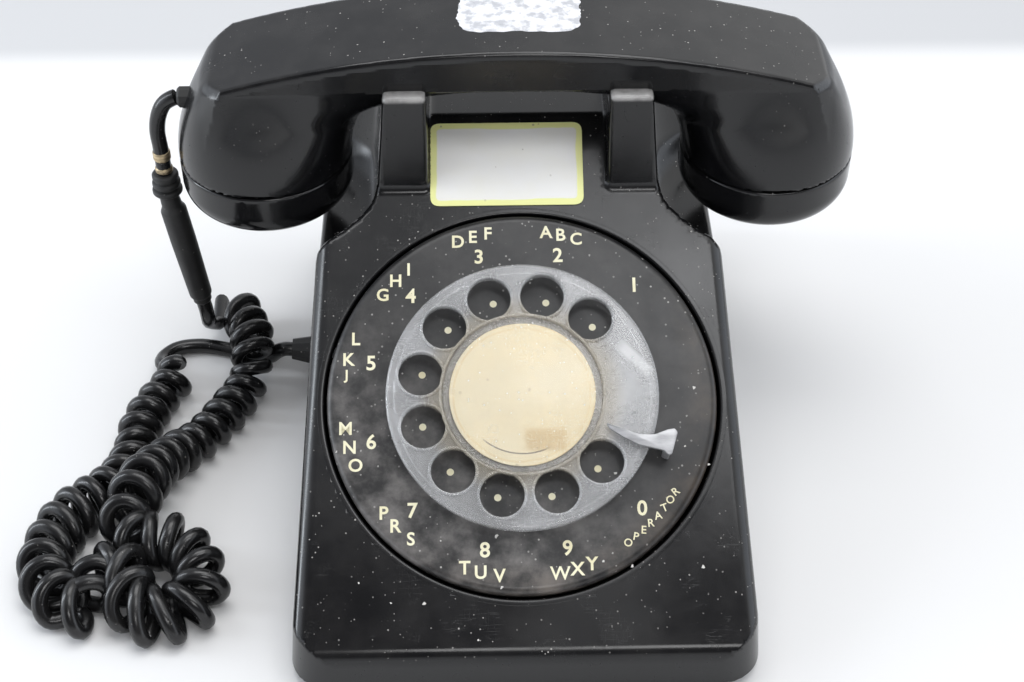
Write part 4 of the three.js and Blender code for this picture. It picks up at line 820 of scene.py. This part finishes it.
def letter_mesh(character, height, stroke):
    """One printed letter, flat and centred on the origin: its points in millimetres and its faces."""
    curve = bpy.data.curves.new("letter", "FONT")
    curve.body = character
    curve.offset = stroke
    curve.resolution_u = 4
    obj = bpy.data.objects.new("letter", curve)
    scene.collection.objects.link(obj)
    bpy.context.view_layer.update()
    mesh = bpy.data.meshes.new_from_object(obj.evaluated_get(bpy.context.evaluated_depsgraph_get()))
    points = np.array([vertex.co for vertex in mesh.vertices])
    faces = [list(face.vertices) for face in mesh.polygons]
    bpy.data.objects.remove(obj)
    low, high = points.min(axis=0), points.max(axis=0)
    return (points - (low + high) / 2) * height / (high[1] - low[1]), faces


def make_marks():
    """The letters, numbers and dots printed on the plate, as one thin layer of ink."""
    points, faces = [], []

    def put(shape, x, y, tilt=0.0):
        corners, loops = shape
        start = sum(len(group) for group in points)
        cosine, sine = math.cos(tilt), math.sin(tilt)
        across = corners[:, 0] * cosine - corners[:, 1] * sine + x
        up = corners[:, 0] * sine + corners[:, 1] * cosine + y
        points.append(np.column_stack([across, up, np.full(len(corners), MARK_LIFT)]))
        faces.extend([[start + corner for corner in loop] for loop in loops])

    def on_circle(angle, radius):
        return radius * math.cos(math.radians(angle)), radius * math.sin(math.radians(angle))

    for character, angle, radius in DIGIT_PLACES:
        put(letter_mesh(character, DIGIT_HEIGHT, STROKE), *on_circle(angle, radius))
    for word, angles in LETTER_ANGLES.items():
        for character, angle in zip(word, angles):
            stroke = WIDE_LETTER_STROKE if character in "MW" else STROKE
            put(letter_mesh(character, LETTER_HEIGHT, stroke), *on_circle(angle, LETTER_CIRCLE))
    for i, character in enumerate(SMALL_WORD):
        spot = on_circle(SMALL_START + SMALL_STEP * i, SMALL_CIRCLE)
        put(letter_mesh(character, SMALL_HEIGHT, SMALL_STROKE), *spot, SMALL_TILTS[i])
    turns = np.arange(DOT_CORNERS) * 2 * math.pi / DOT_CORNERS
    circle = np.column_stack([DOT_RADIUS * np.cos(turns), DOT_RADIUS * np.sin(turns), 0 * turns])
    dot = circle, [list(range(DOT_CORNERS))]
    for i in range(10):
        put(dot, *on_circle(FIRST_MARK + 30 * i, HOLE_CIRCLE))
    marks = mesh_object("printed_marks", on_dial(np.vstack(points)), faces)
    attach(marks, "base")


# Pale paint flecks stuck to the face and the plate: across, up, size, lift off the plate's top
FLECKS = [
    (51, -49.5, 1.1, -2.3), (-29.2, -59.1, 1, -2.3), (22.3, -47.9, 0.7, 0), (-6.7, -54.9, 0.9, 0),
    (-54.2, -15.2, 0.7, 0), (-8.2, -40.2, 0.9, 0), (26.6, -22.6, 1, 0), (-38.4, -58.6, 0.5, -2.3),
    (50.6, 2.6, 0.8, 0), (47, -15, 0.5, 0), (53.6, -20.2, 0.6, 0), (30.6, -49.4, 0.8, 0),
    (-47.6, -53, 0.5, -2.3), (-22.9, 56.9, 0.5, -2.3), (-24, -41.4, 0.4, 0), (-13.6, -69.4, 0.5, -2.3),
]
FLECK_CORNERS = 9


def make_flecks():
    random = np.random.default_rng(7)
    points, faces = [], []
    count = FLECK_CORNERS
    for across, up, size, base in FLECKS:
        turns = np.sort(random.uniform(0, 2 * math.pi, count))
        reach = size * random.uniform(0.35, 0.8, count) * (1 + 0.5 * np.cos(turns - random.uniform(0, 6)))
        foot = np.full(count, base + 0.05)
        ring = np.column_stack([across + reach * np.cos(turns), up + reach * np.sin(turns), foot])
        start = len(points) * (2 * count + 1)
        above = ring * (0.9, 0.9, 1) + np.array([across * 0.1, up * 0.1, 0.14])
        points.append(np.vstack([ring, above, [[across, up, base + 0.24]]]))
        for i in range(count):
            j = (i + 1) % count
            faces.append([start + i, start + j, start + count + j, start + count + i])
            faces.append([start + count + i, start + count + j, start + 2 * count])
        faces.append([start + i for i in range(count)][::-1])
    flecks = mesh_object("paint_flecks", on_dial(np.vstack(points)), faces)
    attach(flecks, "base")


# Torn paper left on the handset's back: its middle and half sizes, in millimetres
PAPER_MIDDLE = (0.8, 45)
PAPER_HALF = (18.2, 12)
PAPER_LAYERS = 3
PAPER_CORNERS = 220
PAPER_TOP = 11.2
PAPER_STEPS = (0.25, 0.5, 0.75, 0.93, 1.0)


def make_paper():
    """Layers of torn paper that follow the arched back, each smaller and more ragged than the one below."""
    random = np.random.default_rng(11)
    pieces = []
    for layer in range(PAPER_LAYERS):
        count = PAPER_CORNERS
        turns = np.linspace(0, 2 * math.pi, count, endpoint=False)
        waves = 0
        for k in range(3, 48):
            waves = waves + random.uniform(0.4, 1) / k**0.9 * np.sin(k * turns + random.uniform(0, 6.3))
        share = (1 - 0.12 * layer) * (1 + 0.045 * waves)
        square = (np.abs(np.cos(turns)) ** 5 + np.abs(np.sin(turns)) ** 5) ** -0.2
        outline = np.stack([np.cos(turns), np.sin(turns)], axis=1) * (square * share)[:, None] * PAPER_HALF
        outline[:, 1] = np.minimum(outline[:, 1], PAPER_TOP)
        lift = 0.12 + 0.16 * layer
        rings = []
        for step in PAPER_STEPS:
            place = outline * step + np.array(PAPER_MIDDLE)
            height = lift + 0.1 * random.uniform(0, 1, count) * (step < 1) - 0.1 * (step == 1)
            rings.append(np.column_stack([place, height]))
        points = np.vstack([[[*PAPER_MIDDLE, lift]]] + rings)
        faces = bands(len(rings), count, 1) + [[0, 1 + i, 1 + (i + 1) % count] for i in range(count)]
        radius = ARCH_RADIUS + points[:, 2]
        points[:, 2] = HANDLE_TOP - ARCH_RADIUS + np.sqrt(radius**2 - points[:, 0] ** 2)
        pieces.append(mesh_object(f"paper_layer_{layer}", points, faces))
    join(pieces)
    pieces[0].name = "torn_paper"
    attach(pieces[0], "handset")


# Fittings on the cord, in millimetres
LEAD_X = -111.57
COLLAR = (79.5, 87.3, 2.8)
GROMMET = (70.9, 79.2, 4.8)
SLEEVE_TOP = (LEAD_X, HANDSET_Y, 70.3)
SLEEVE_FOOT = (-106, HANDSET_Y, 24.5)
SLEEVE_RADIUS = 4.2
# The sleeve's rings and its long taper: shares of its radius and length, and each corner's rounding
SLEEVE_SHARES = [
    (0.72, 0, 0), (0.76, 0.06, 1), (0.78, 0.1, 1), (1, 0.14, 1.6), (1, 0.42, 8), (0.9, 0.93, 2),
    (0.72, 0.955, 0.6), (0.74, 0.985, 0.6), (0.64, 1, 0),
]
WIRE_ROOM = 0.3
PLUNGER_ROD = 3.2
PLUNGER_HEAD = 1.6


def along(start, end):
    """Places a piece made along Z so that it runs from start towards end."""
    turn = np.array((Vector(end) - Vector(start)).to_track_quat("Z", "Y").to_matrix())
    return lambda points: points @ turn.T + np.array(start, float)


def make_fittings():
    low, high, radius = COLLAR
    mid, waist = (low + high) / 2, radius * 0.84
    profile = eased([
        (WIRE_ROOM, low, 0), (radius, low, 0.4), (radius, low + 1.4, 0.3), (waist, low + 2, 0.4),
        (waist, mid + 0.6, 0.4), (radius, mid + 1.2, 0.3), (radius, high, 0.5), (WIRE_ROOM, high, 0),
    ], 4)
    collar = turned("brass_collar", profile, 40, shifted(LEAD_X, HANDSET_Y, 0))
    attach(collar, "handset")
    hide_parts("lead_collar")
    low, high, radius = GROMMET
    step = (high - low) / 3
    corners = [(WIRE_ROOM, low, 0)]
    for i in range(3):
        foot, rib, groove = low + step * i, radius * (1 - 0.06 * i), radius * 0.74
        corners += [(groove, foot, 0.2), (rib, foot + 0.5, 0.6)]
        corners += [(rib, foot + step - 0.9, 0.6), (groove, foot + step - 0.4, 0.2)]
    profile = eased(corners + [(WIRE_ROOM, high, 0)], 4)
    grommet = turned("ribbed_grommet", profile, 40, shifted(LEAD_X, HANDSET_Y, 0))
    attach(grommet, "handset")
    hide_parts("lead_grommet")
    length = math.dist(SLEEVE_TOP, SLEEVE_FOOT)
    corners = [(SLEEVE_RADIUS * out, length * down, rounding) for out, down, rounding in SLEEVE_SHARES]
    profile = eased([(WIRE_ROOM, 0, 0)] + corners + [(WIRE_ROOM, length, 0)])
    sleeve = turned("long_sleeve", profile, 40, along(SLEEVE_TOP, SLEEVE_FOOT))
    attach(sleeve, "handset")
    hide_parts("lead_sleeve")
    for node, name in (("plunger_left", "left_plunger"), ("plunger_right", "right_plunger")):
        low, high = np.array(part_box(node)) / MM
        head, neck = (high[0] - low[0]) / 2, low[2] + PLUNGER_HEAD
        profile = eased([
            (0, low[2], 0), (head, low[2], 0.4), (head, neck, 0.4), (PLUNGER_ROD, neck, 0.3),
            (PLUNGER_ROD, high[2], 1.2), (0, high[2], 0),
        ], 4)
        plunger = turned(name, profile, 32, shifted((low[0] + high[0]) / 2, (low[1] + high[1]) / 2, 0))
        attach(plunger, node)
        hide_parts(node)


def make_feet():
    """Domed rubber feet with a sunk ring."""
    for node in ("foot_front_left", "foot_front_right", "foot_rear_left", "foot_rear_right"):
        low, high = np.array(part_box(node)) / MM
        radius = (high[0] - low[0]) / 2
        profile = eased([
            (0, 0, 0), (radius * 0.42, 0, 0.4), (radius * 0.5, 0.9, 0.4), (radius * 0.6, 0, 0.4),
            (radius * 0.93, 0, 1.2), (radius, high[2], 0.3), (0, high[2], 0),
        ], 4)
        middle = shifted((low[0] + high[0]) / 2, (low[1] + high[1]) / 2, 0)
        foot = turned(f"rubber_{node}", profile, 48, middle)
        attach(foot, "base")
        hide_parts(node)


FLOOR_HALF_WIDTH = 3000


def make_floor():
    size = FLOOR_HALF_WIDTH
    corners = [(-size, -size, 0), (size, -size, 0), (size, size, 0), (-size, size, 0)]
    floor = mesh_object("floor", corners, [(0, 1, 2, 3)])
    return floor


# Shader nodes
class Value:
    """What a node puts out. A sum with it adds the nodes that work the sum out."""

    def __init__(self, tree, socket):
        self.tree, self.socket = tree, socket

    def __add__(self, other):
        return maths("ADD", self, other)

    def __sub__(self, other):
        return maths("SUBTRACT", self, other)

    def __rsub__(self, other):
        return maths("SUBTRACT", other, self)

    def __mul__(self, other):
        return maths("MULTIPLY", self, other)

    def __truediv__(self, other):
        return maths("DIVIDE", self, other)

    def __abs__(self):
        return maths("ABSOLUTE", self)


def feed(tree, sockets, given):
    """Links each named socket to a node's value, or sets it to a plain one."""
    for key, value in given.items():
        if isinstance(value, Value):
            tree.links.new(value.socket, sockets[key])
        else:
            sockets[key].default_value = value


def wire(tree, kind, given=None, **settings):
    """The outputs of a new node, by name and by number."""
    node = tree.nodes.new("ShaderNode" + kind)
    for name, value in settings.items():
        setattr(node, name, value)
    feed(tree, node.inputs, given or {})
    return {key: Value(tree, socket) for i, socket in enumerate(node.outputs) for key in (i, socket.name)}


def maths(operation, *values):
    tree = next(value.tree for value in values if isinstance(value, Value))
    return wire(tree, "Math", dict(enumerate(values)), operation=operation)[0]


def span(value, low, high, start=0.0, end=1.0):
    """The value's run from low to high as a smooth run from start to end, held at its ends."""
    given = {"Value": value, "From Min": low, "From Max": high, "To Min": start, "To Max": end}
    return wire(value.tree, "MapRange", given, interpolation_type="SMOOTHSTEP")["Result"]


def near(value, middle, full, none):
    """1 where the value is within full of the middle, 0 where it is farther than none."""
    return span(abs(value - middle), full, none, 1.0, 0.0)


def blended(factor, one, other):
    return wire(factor.tree, "Mix", {0: factor, 6: one, 7: other}, data_type="RGBA")[2]


def noise(place, scale, detail=4.0, roughness=0.55):
    given = {"Vector": place, "Scale": scale, "Detail": detail, "Roughness": roughness}
    return wire(place.tree, "TexNoise", given)["Fac"]


def parts_of(vector):
    outputs = wire(vector.tree, "SeparateXYZ", {0: vector})
    return outputs[0], outputs[1], outputs[2]


def length_of(across, up):
    return maths("SQRT", across * across + up * up)


def object_place(tree, shift=(0, 0, 0), turn=(0, 0, 0), scale=(1, 1, 1)):
    """The place on the object, moved, turned and stretched."""
    given = {"Vector": wire(tree, "TexCoord")["Object"], "Location": shift, "Rotation": turn, "Scale": scale}
    return wire(tree, "Mapping", given, vector_type="TEXTURE")[0]


def dial_place(tree):
    """The place in the dial's own frame: across, up the face, out of it, in metres."""
    return object_place(tree, tuple(DIAL_PLACE * MM), (FACE_SLOPE, 0, 0))


def new_group(name, inputs):
    """An empty node group and its inputs: a value that is usually the number given, or a place for None."""
    group = bpy.data.node_groups.new(name, "ShaderNodeTree")
    for label, usual in inputs.items():
        kind = "NodeSocketVector" if usual is None else "NodeSocketFloat"
        socket = group.interface.new_socket(label, in_out="INPUT", socket_type=kind)
        if usual is not None:
            socket.default_value = usual
    return group, {socket.name: Value(group, socket) for socket in group.nodes.new("NodeGroupInput").outputs}


def giving(group, **results):
    """The group, with these values as its outputs."""
    for label in results:
        group.interface.new_socket(label, in_out="OUTPUT", socket_type="NodeSocketFloat")
    feed(group, group.nodes.new("NodeGroupOutput").inputs, results)
    return group


def settled_dust():
    """Fine specks of dust of many sizes, and the thin film that lies between them."""
    group, given = new_group("settled_dust", {"Place": None, "Grain": 900.0, "Cover": 0.2})
    grains = wire(group, "TexVoronoi", {"Vector": given["Place"], "Scale": given["Grain"]})
    size = span(parts_of(grains["Color"])[0], 1.0 - given["Cover"], 1.0, 0.0, 0.34)
    speck = wire(group, "Clamp", {"Value": (size - grains["Distance"]) / 0.06})[0]
    patches = span(noise(given["Place"], 45.0), 0.42, 0.66, 0.35, 1.0)
    film = span(noise(given["Place"], 70.0, 6.0, 0.65), 0.35, 0.75)
    return giving(group, Specks=speck * patches, Film=film)


def handled_surface():
    """Smears left by hands, and long fine scratches that cross them."""
    group, given = new_group("handled_surface", {"Place": None, "Smear": 30.0, "Scratch": 60.0})
    smears = span(noise(given["Place"], given["Smear"], 5.0), 0.35, 0.7)
    lines = []
    for turn, stretch in ((0.6, (1, 14, 1)), (-0.9, (11, 1, 3))):
        stretched = {"Vector": given["Place"], "Rotation": (0.2, 0.3, turn), "Scale": stretch}
        place = wire(group, "Mapping", stretched, vector_type="POINT")[0]
        lines.append(near(noise(place, given["Scratch"], 2.0), 0.5, 0.0, 0.006))
    broken = span(noise(given["Place"], 90.0, 2.0), 0.5, 0.62)
    return giving(group, Smears=smears, Scratches=maths("MAXIMUM", *lines) * broken)


def aged_paper():
    """Yellowing and fibres in paper."""
    group, given = new_group("aged_paper", {"Place": None, "Fibre": 1500.0})
    yellowing = span(noise(given["Place"], 60.0, 5.0), 0.35, 0.7)
    return giving(group, Yellowing=yellowing, Fibres=noise(given["Place"], given["Fibre"], 3.0, 0.7))


GROUPS = {"dust": settled_dust(), "handling": handled_surface(), "paper": aged_paper()}


def effect(name, place, **given):
    return wire(place.tree, "Group", {"Place": place, **given}, node_tree=GROUPS[name])


def new_material(name, where=object_place):
    """A material, and the place that its colours and grain follow."""
    material = bpy.data.materials.new(name)
    material.use_nodes = True
    return material, where(material.node_tree)


def finished(material, colour, roughness, bump=None, **others):
    """The material with its shader fed. A bump is its height, its depth in metres and its strength."""
    tree = material.node_tree
    given = {"Base Color": colour, "Roughness": roughness}
    given.update({key.replace("_", " "): value for key, value in others.items()})
    if bump:
        given["Normal"] = wire(tree, "Bump", dict(zip(("Height", "Distance", "Strength"), bump)))[0]
    feed(tree, tree.nodes["Principled BSDF"].inputs, given)
    return material


def black_moulding(name, gloss, haze, cover, worn=False):
    """Black moulded plastic: how rough it is, how much dust film greys it, and how much of it has specks.

    Worn, the tops of the ears are scuffed pale, and made paler still as a painted sheen.
    """
    material, place = new_material(name)
    dust = effect("dust", place, Grain=1150.0, Cover=cover)
    hands = effect("handling", place)
    upward = span(parts_of(wire(place.tree, "TexCoord")["Normal"])[2], 0.15, 0.7)
    colour = blended(dust["Film"] * upward * haze, (0.0045, 0.0045, 0.0051, 1), (0.085, 0.08, 0.076, 1))
    colour = blended(dust["Specks"] * upward * 0.75, colour, (0.5, 0.48, 0.45, 1))
    if worn:
        # Scuffs on the ear tops, painted paler than wear alone as a sheen of light on the tops.
        scuffs_and_sheen = span(parts_of(place)[2], 0.1192, 0.1206) * span(noise(place, 140.0, 6.0), 0.3, 0.6, 0.5, 1.0)
        colour = blended(scuffs_and_sheen, colour, (0.36, 0.35, 0.34, 1))
    rough = hands["Smears"] * 0.1 + gloss + hands["Scratches"] * 0.12 + dust["Specks"] * 0.3
    height = noise(place, 380.0, 2.0) - hands["Scratches"] * 0.4
    return finished(material, colour, rough, (height, 0.00003, 0.35), IOR=1.5)


def plate_plastic():
    """The number plate: duller than the housing, with a dust film made paler low on its left as a painted
    sheen, and brown dirt at its right rim.
    """
    material, place = new_material("plate_plastic", dial_place)
    across, up, _ = parts_of(place)
    dust = effect("dust", place, Grain=1000.0, Cover=0.16)
    hands = effect("handling", place, Smear=45.0, Scratch=90.0)
    dirt = span(length_of(across, up), 0.046, 0.055) * span(across - up, 0.0, 0.06) * dust["Film"]
    # The dust film is real; its growth towards the lower left is a painted sheen standing in for a broad
    # highlight.
    haze = dust["Film"] * span(up + across * 0.7, 0.01, -0.055, 0.12, 0.9)
    colour = blended(haze, (0.009, 0.009, 0.0095, 1), (0.2, 0.188, 0.18, 1))
    colour = blended(dirt * 0.35, colour, (0.11, 0.07, 0.035, 1))
    colour = blended(dust["Specks"] * 0.8, colour, (0.55, 0.53, 0.5, 1))
    rough = hands["Smears"] * 0.1 + 0.31 + hands["Scratches"] * 0.1
    height = noise(place, 500.0, 2.0) - hands["Scratches"] * 0.5
    return finished(material, colour, rough, (height, 0.00003, 0.4), IOR=1.5)


def clear_plastic(name, cloud, through, gloss, yellow=0.0, lit=0.6, index=1.49):
    """Old clear plastic: how pale its scratches make it, how much light goes through, how rough it is.

    The lamps light what lies beneath it by the share lit, as they do through thin plastic.
    """
    material, place = new_material(name, dial_place)
    across, up, _ = parts_of(place)
    hands = effect("handling", place, Smear=60.0, Scratch=140.0)
    dust = effect("dust", place, Grain=900.0, Cover=0.12)
    pale, paler = (cloud, cloud, cloud, 1), (*(min(1, cloud * share) for share in (1.3, 1.3, 1.31)), 1)
    white = (1, 1, 1, 1)
    colour = blended(hands["Smears"], pale, paler)
    near_card = span(length_of(across, up), 0.0315, 0.0245)
    colour = blended(near_card * yellow, colour, (0.62, 0.5, 0.27, 1))
    colour = blended(hands["Scratches"] * 0.5, colour, white)
    # Painted glint: a pale streak on the wheel where a lamp's reflection lies, painted into its colour.
    painted_glint = near(across * 0.698 + up * 0.716, 0.0304, 0.0008, 0.0024)
    painted_glint = painted_glint * near(across * 0.716 + up * -0.698, 0.0165, 0.004, 0.0078)
    colour = blended(painted_glint * 0.9, colour, white)
    rough = hands["Scratches"] * 0.3 + gloss + dust["Specks"] * 0.4
    opaque = 1.0 - wire(place.tree, "LightPath")["Is Shadow Ray"] * lit
    bump = (hands["Scratches"] * -1.0, 0.00004, 0.5)
    return finished(material, colour, rough, bump, IOR=index, Transmission_Weight=through, Alpha=opaque)


def card_paper():
    """The centre card: cream, yellowed in rings at its rim, with a brown stain low on its right."""
    material, place = new_material("card_paper", dial_place)
    across, up, _ = parts_of(place)
    paper = effect("paper", place)
    dust = effect("dust", place, Grain=500.0, Cover=0.04)
    radius = length_of(across, up)
    waves = maths("SINE", (radius + (paper["Yellowing"] - 0.5) * 0.0006) * 4200.0)
    rings = span(waves, -0.2, 0.8) * span(radius, 0.0182, 0.0205)
    cream, yellow, brown = (0.86, 0.755, 0.53, 1), (0.76, 0.57, 0.26, 1), (0.55, 0.35, 0.12, 1)
    colour = blended(paper["Yellowing"] * 0.22, cream, yellow)
    colour = blended(rings * 0.55, colour, yellow)
    stain = near(across, 0.0065, 0.0045, 0.0075) * near(up, -0.0135, 0.002, 0.0042)
    colour = blended(stain * span(paper["Yellowing"], 0.0, 0.5) * 0.5, colour, brown)
    low = span(up, -0.0125, -0.0145) * span(across, 0.0085, 0.0055)
    colour = blended(near(radius, 0.0176, 0.0001, 0.0003) * low * 0.85, colour, (0.1, 0.07, 0.05, 1))
    colour = blended(dust["Specks"] * 0.8, colour, (0.3, 0.2, 0.1, 1))
    return finished(material, colour, 0.6, (paper["Fibres"], 0.00002, 0.4))


def label_paper():
    """The blank label: cream paper with a yellow-green border, a little worn at its edges."""
    material, place = new_material("label_paper", dial_place)
    across, up, _ = parts_of(place)
    paper = effect("paper", place)
    dust = effect("dust", place, Grain=600.0, Cover=0.05)
    x, middle, width, height, corner = (value * MM for value in LABEL)
    out_x = abs(across - x) - (width / 2 - corner)
    out_y = abs(up - middle) - (height / 2 - corner)
    beside = length_of(maths("MAXIMUM", out_x, 0.0), maths("MAXIMUM", out_y, 0.0))
    inset = corner - (beside + maths("MINIMUM", maths("MAXIMUM", out_x, out_y), 0.0))
    low, high = LABEL_BORDER * MM, (LABEL_BORDER + 0.5) * MM
    border = span(inset + paper["Yellowing"] * 0.0005, low, high, 1.0, 0.0)
    colour = blended(paper["Yellowing"] * 0.3, (0.97, 0.96, 0.93, 1), (0.93, 0.9, 0.74, 1))
    colour = blended(border, colour, (0.96, 0.97, 0.42, 1))
    colour = blended(dust["Specks"] * 0.7, colour, (0.25, 0.22, 0.18, 1))
    return finished(material, colour, 0.42, (paper["Fibres"], 0.00002, 0.3))


def torn_fibre():
    material, place = new_material("torn_fibre")
    paper = effect("paper", place, Fibre=700.0)
    patches = span(noise(place, 260.0, 5.0), 0.45, 0.62)
    colour = blended(patches * 0.7, (0.78, 0.78, 0.8, 1), (0.36, 0.37, 0.4, 1))
    return finished(material, colour, 0.95, (paper["Fibres"], 0.0006, 0.8))


def printed_ink():
    material, place = new_material("printed_ink", dial_place)
    paper = effect("paper", place)
    colour = blended(paper["Yellowing"], (0.86, 0.82, 0.6, 1), (0.72, 0.66, 0.42, 1))
    return finished(material, colour, 0.5, (paper["Fibres"], 0.00002, 0.3))


def fleck_paint():
    material, place = new_material("fleck_paint")
    return finished(material, blended(noise(place, 900.0), (0.8, 0.78, 0.74, 1), (0.5, 0.48, 0.45, 1)), 0.8)


def worn_metal(name, bright, dull, gloss):
    """Metal with drawn grain, dulled in patches."""
    material, place = new_material(name, lambda tree: object_place(tree, scale=(1, 1, 0.12)))
    hands = effect("handling", place, Smear=120.0, Scratch=200.0)
    grains = noise(place, 700.0, 3.0)
    colour = blended(hands["Smears"], (*bright, 1), (*dull, 1))
    bump = (grains - hands["Scratches"], 0.00003, 0.5)
    return finished(material, colour, grains * 0.25 + gloss, bump, Metallic=1.0)


def matt_surface(name, one, other, gloss, grain, depth=0.00005):
    """A dull surface of two near colours with a fine grain."""
    material, place = new_material(name)
    dust = effect("dust", place, Grain=1000.0, Cover=0.1)
    grains = noise(place, grain, 3.0)
    colour = blended(dust["Film"], (*one, 1), (*other, 1))
    colour = blended(dust["Specks"] * 0.5, colour, (0.4, 0.38, 0.35, 1))
    return finished(material, colour, grains * 0.15 + gloss, (grains, depth, 0.5))


def cord_vinyl():
    """The cord's soft black jacket, smeared, with a little dust."""
    material, place = new_material("cord_vinyl")
    dust = effect("dust", place, Grain=1300.0, Cover=0.07)
    hands = effect("handling", place, Smear=80.0)
    colour = blended(dust["Film"] * 0.12, (0.006, 0.006, 0.0065, 1), (0.07, 0.065, 0.06, 1))
    colour = blended(dust["Specks"] * 0.5, colour, (0.45, 0.43, 0.4, 1))
    bump = (noise(place, 300.0, 3.0), 0.00004, 0.5)
    return finished(material, colour, hands["Smears"] * 0.1 + 0.2, bump, IOR=1.5)


# Floor: a pale sheet, and the duller table beyond its far edge
SHEET_EDGE = 0.221
FLOOR_PALE = (0.79, 0.79, 0.79, 1)
FLOOR_SHADED = (0.78, 0.77, 0.76, 1)
FLOOR_DULL = (0.58, 0.585, 0.595, 1)


def floor_sheet():
    material, place = new_material("floor_sheet")
    beyond_edge = span(parts_of(place)[1], SHEET_EDGE - 0.006, SHEET_EDGE + 0.012)
    pale = blended(span(noise(place, 5.0), 0.35, 0.65) * 0.25, FLOOR_PALE, FLOOR_SHADED)
    colour = blended(beyond_edge, pale, FLOOR_DULL)
    return finished(material, colour, 0.9, (noise(place, 900.0), 0.00005, 0.2))


def make_materials():
    """Every finish, by the name that the tables below use."""
    return {
        "housing": black_moulding("housing_plastic", 0.15, 0.1, 0.13, worn=True),
        "handset": black_moulding("handset_plastic", 0.13, 0.14, 0.08),
        "cap": black_moulding("cap_plastic", 0.1, 0.1, 0.03),
        "plate": plate_plastic(),
        "wheel": clear_plastic("wheel_plastic", 0.58, 0.7, 0.12, 0.35),
        "window": clear_plastic("window_plastic", 0.95, 0.97, 0.16, lit=0.38, index=1.24),
        "card": card_paper(),
        "label": label_paper(),
        "torn": torn_fibre(),
        "ink": printed_ink(),
        "fleck": fleck_paint(),
        "stop": worn_metal("stop_metal", (0.52, 0.52, 0.53), (0.36, 0.36, 0.37), 0.45),
        "cord": cord_vinyl(),
        "steel": worn_metal("plated_steel", (0.62, 0.61, 0.58), (0.45, 0.43, 0.38), 0.3),
        "brass": worn_metal("dull_brass", (0.62, 0.5, 0.32), (0.3, 0.24, 0.16), 0.32),
        "tray": matt_surface("tray_paint", (0.015, 0.015, 0.016), (0.03, 0.029, 0.028), 0.4, 400.0),
        "winding": matt_surface("wound_wire", (0.22, 0.08, 0.04), (0.3, 0.13, 0.06), 0.4, 900.0, 0.0002),
        "phenolic": matt_surface("moulded_phenolic", (0.09, 0.045, 0.025), (0.13, 0.07, 0.04), 0.45, 500.0),
        "rubber": matt_surface("black_rubber", (0.012, 0.012, 0.012), (0.03, 0.029, 0.028), 0.45, 600.0),
    }


PIECE_FINISHES = {
    "cord": "cord",
    "moulded_housing": "housing",
    "opening_edge": "housing",
    "handset_grip": "handset",
    "left_cap": "cap",
    "right_cap": "cap",
    "left_plunger": "cap",
    "right_plunger": "cap",
    "dial_plate": "plate",
    "clear_wheel": "wheel",
    "centre_card": "card",
    "domed_window": "window",
    "curved_stop": "stop",
    "blank_label": "label",
    "torn_paper": "torn",
    "printed_marks": "ink",
    "paint_flecks": "fleck",
    "brass_collar": "brass",
    "ribbed_grommet": "rubber",
    "long_sleeve": "rubber",
    "rubber_foot_front_left": "rubber",
    "rubber_foot_front_right": "rubber",
    "rubber_foot_rear_left": "rubber",
    "rubber_foot_rear_right": "rubber",
}
SLOT_FINISHES = {
    "black_plastic": "housing",
    "clear_plastic": "wheel",
    "card": "card",
    "stop_metal": "stop",
    "steel": "steel",
    "tray_paint": "tray",
    "brass": "brass",
    "coil_wrap": "winding",
    "phenolic": "phenolic",
    "rubber": "rubber",
    "cord_jacket": "cord",
}


def dress(finishes):
    """Gives every piece its finish, and every node of the frame the finish of its material slot."""
    for name, finish in PIECE_FINISHES.items():
        bpy.data.objects[name].data.materials.append(finishes[finish])
    for entry in frame["record"]["subparts"]:
        node = frame["nodes"][entry["node"]]
        finish = finishes[SLOT_FINISHES[entry["material_slot"]]]
        if not node.material_slots:
            node.data.materials.append(finish)
        for slot in node.material_slots:
            slot.link = "OBJECT"
            slot.material = finish


def make_light(name, place, aim, size, power, colour=(1, 1, 1)):
    """A soft box of the given width and height."""
    data = bpy.data.lights.new(name, "AREA")
    data.shape = "RECTANGLE"
    data.size, data.size_y = size
    data.energy = power
    data.color = colour
    light = bpy.data.objects.new(name, data)
    light.location = place
    light.rotation_euler = (Vector(aim) - Vector(place)).to_track_quat("-Z", "Y").to_euler()
    scene.collection.objects.link(light)


def make_world():
    """Soft light from all round: brighter on the right, brightest far aside, and dark above the front."""
    world = bpy.data.worlds.new("world")
    scene.world = world
    world.use_nodes = True
    tree = world.node_tree
    across, depth, height = parts_of(wire(tree, "TexCoord")["Generated"])
    colour = blended(span(across, -0.5, 0.6), (0.62, 0.64, 0.68, 1), (1.15, 1.16, 1.17, 1))
    colour = blended(span(depth, -0.19, -0.4) * span(height, 0.1, 0.3), colour, (0.13, 0.13, 0.14, 1))
    colour = blended(span(abs(across), 0.6, 0.92), colour, (1.55, 1.65, 1.8, 1))
    feed(tree, tree.nodes["Background"].inputs, {"Color": colour})


make_camera()
make_cord()
make_housing()
make_handle()
make_cap("left_cap", -1, "transmitter_cap")
make_cap("right_cap", 1, "receiver_cap")
make_plate()
make_wheel()
make_card()
make_stop()
make_label()
make_marks()
make_flecks()
make_paper()
make_fittings()
make_feet()
floor = make_floor()
dress(make_materials())
floor.data.materials.append(floor_sheet())
make_light("rear_box", (0, 0.22, 1.15), (0, 0.22, 0), (0.8, 0.5), 4.6)
make_light("right_box", (0.32, -0.3, 1.15), (0.32, -0.3, 0), (0.62, 0.26), 2.2, (0.97, 0.98, 1))
make_light("front_fill", (0.1, -0.95, 1.05), (0, 0, 0.05), (0.4, 0.3), 2.4)
make_light("left_strip", (-0.9, 0.05, 0.4), (0, 0, 0.05), (0.12, 0.8), 2.8, (0.88, 0.94, 1))
make_world()
scene.view_settings.view_transform = "Standard"
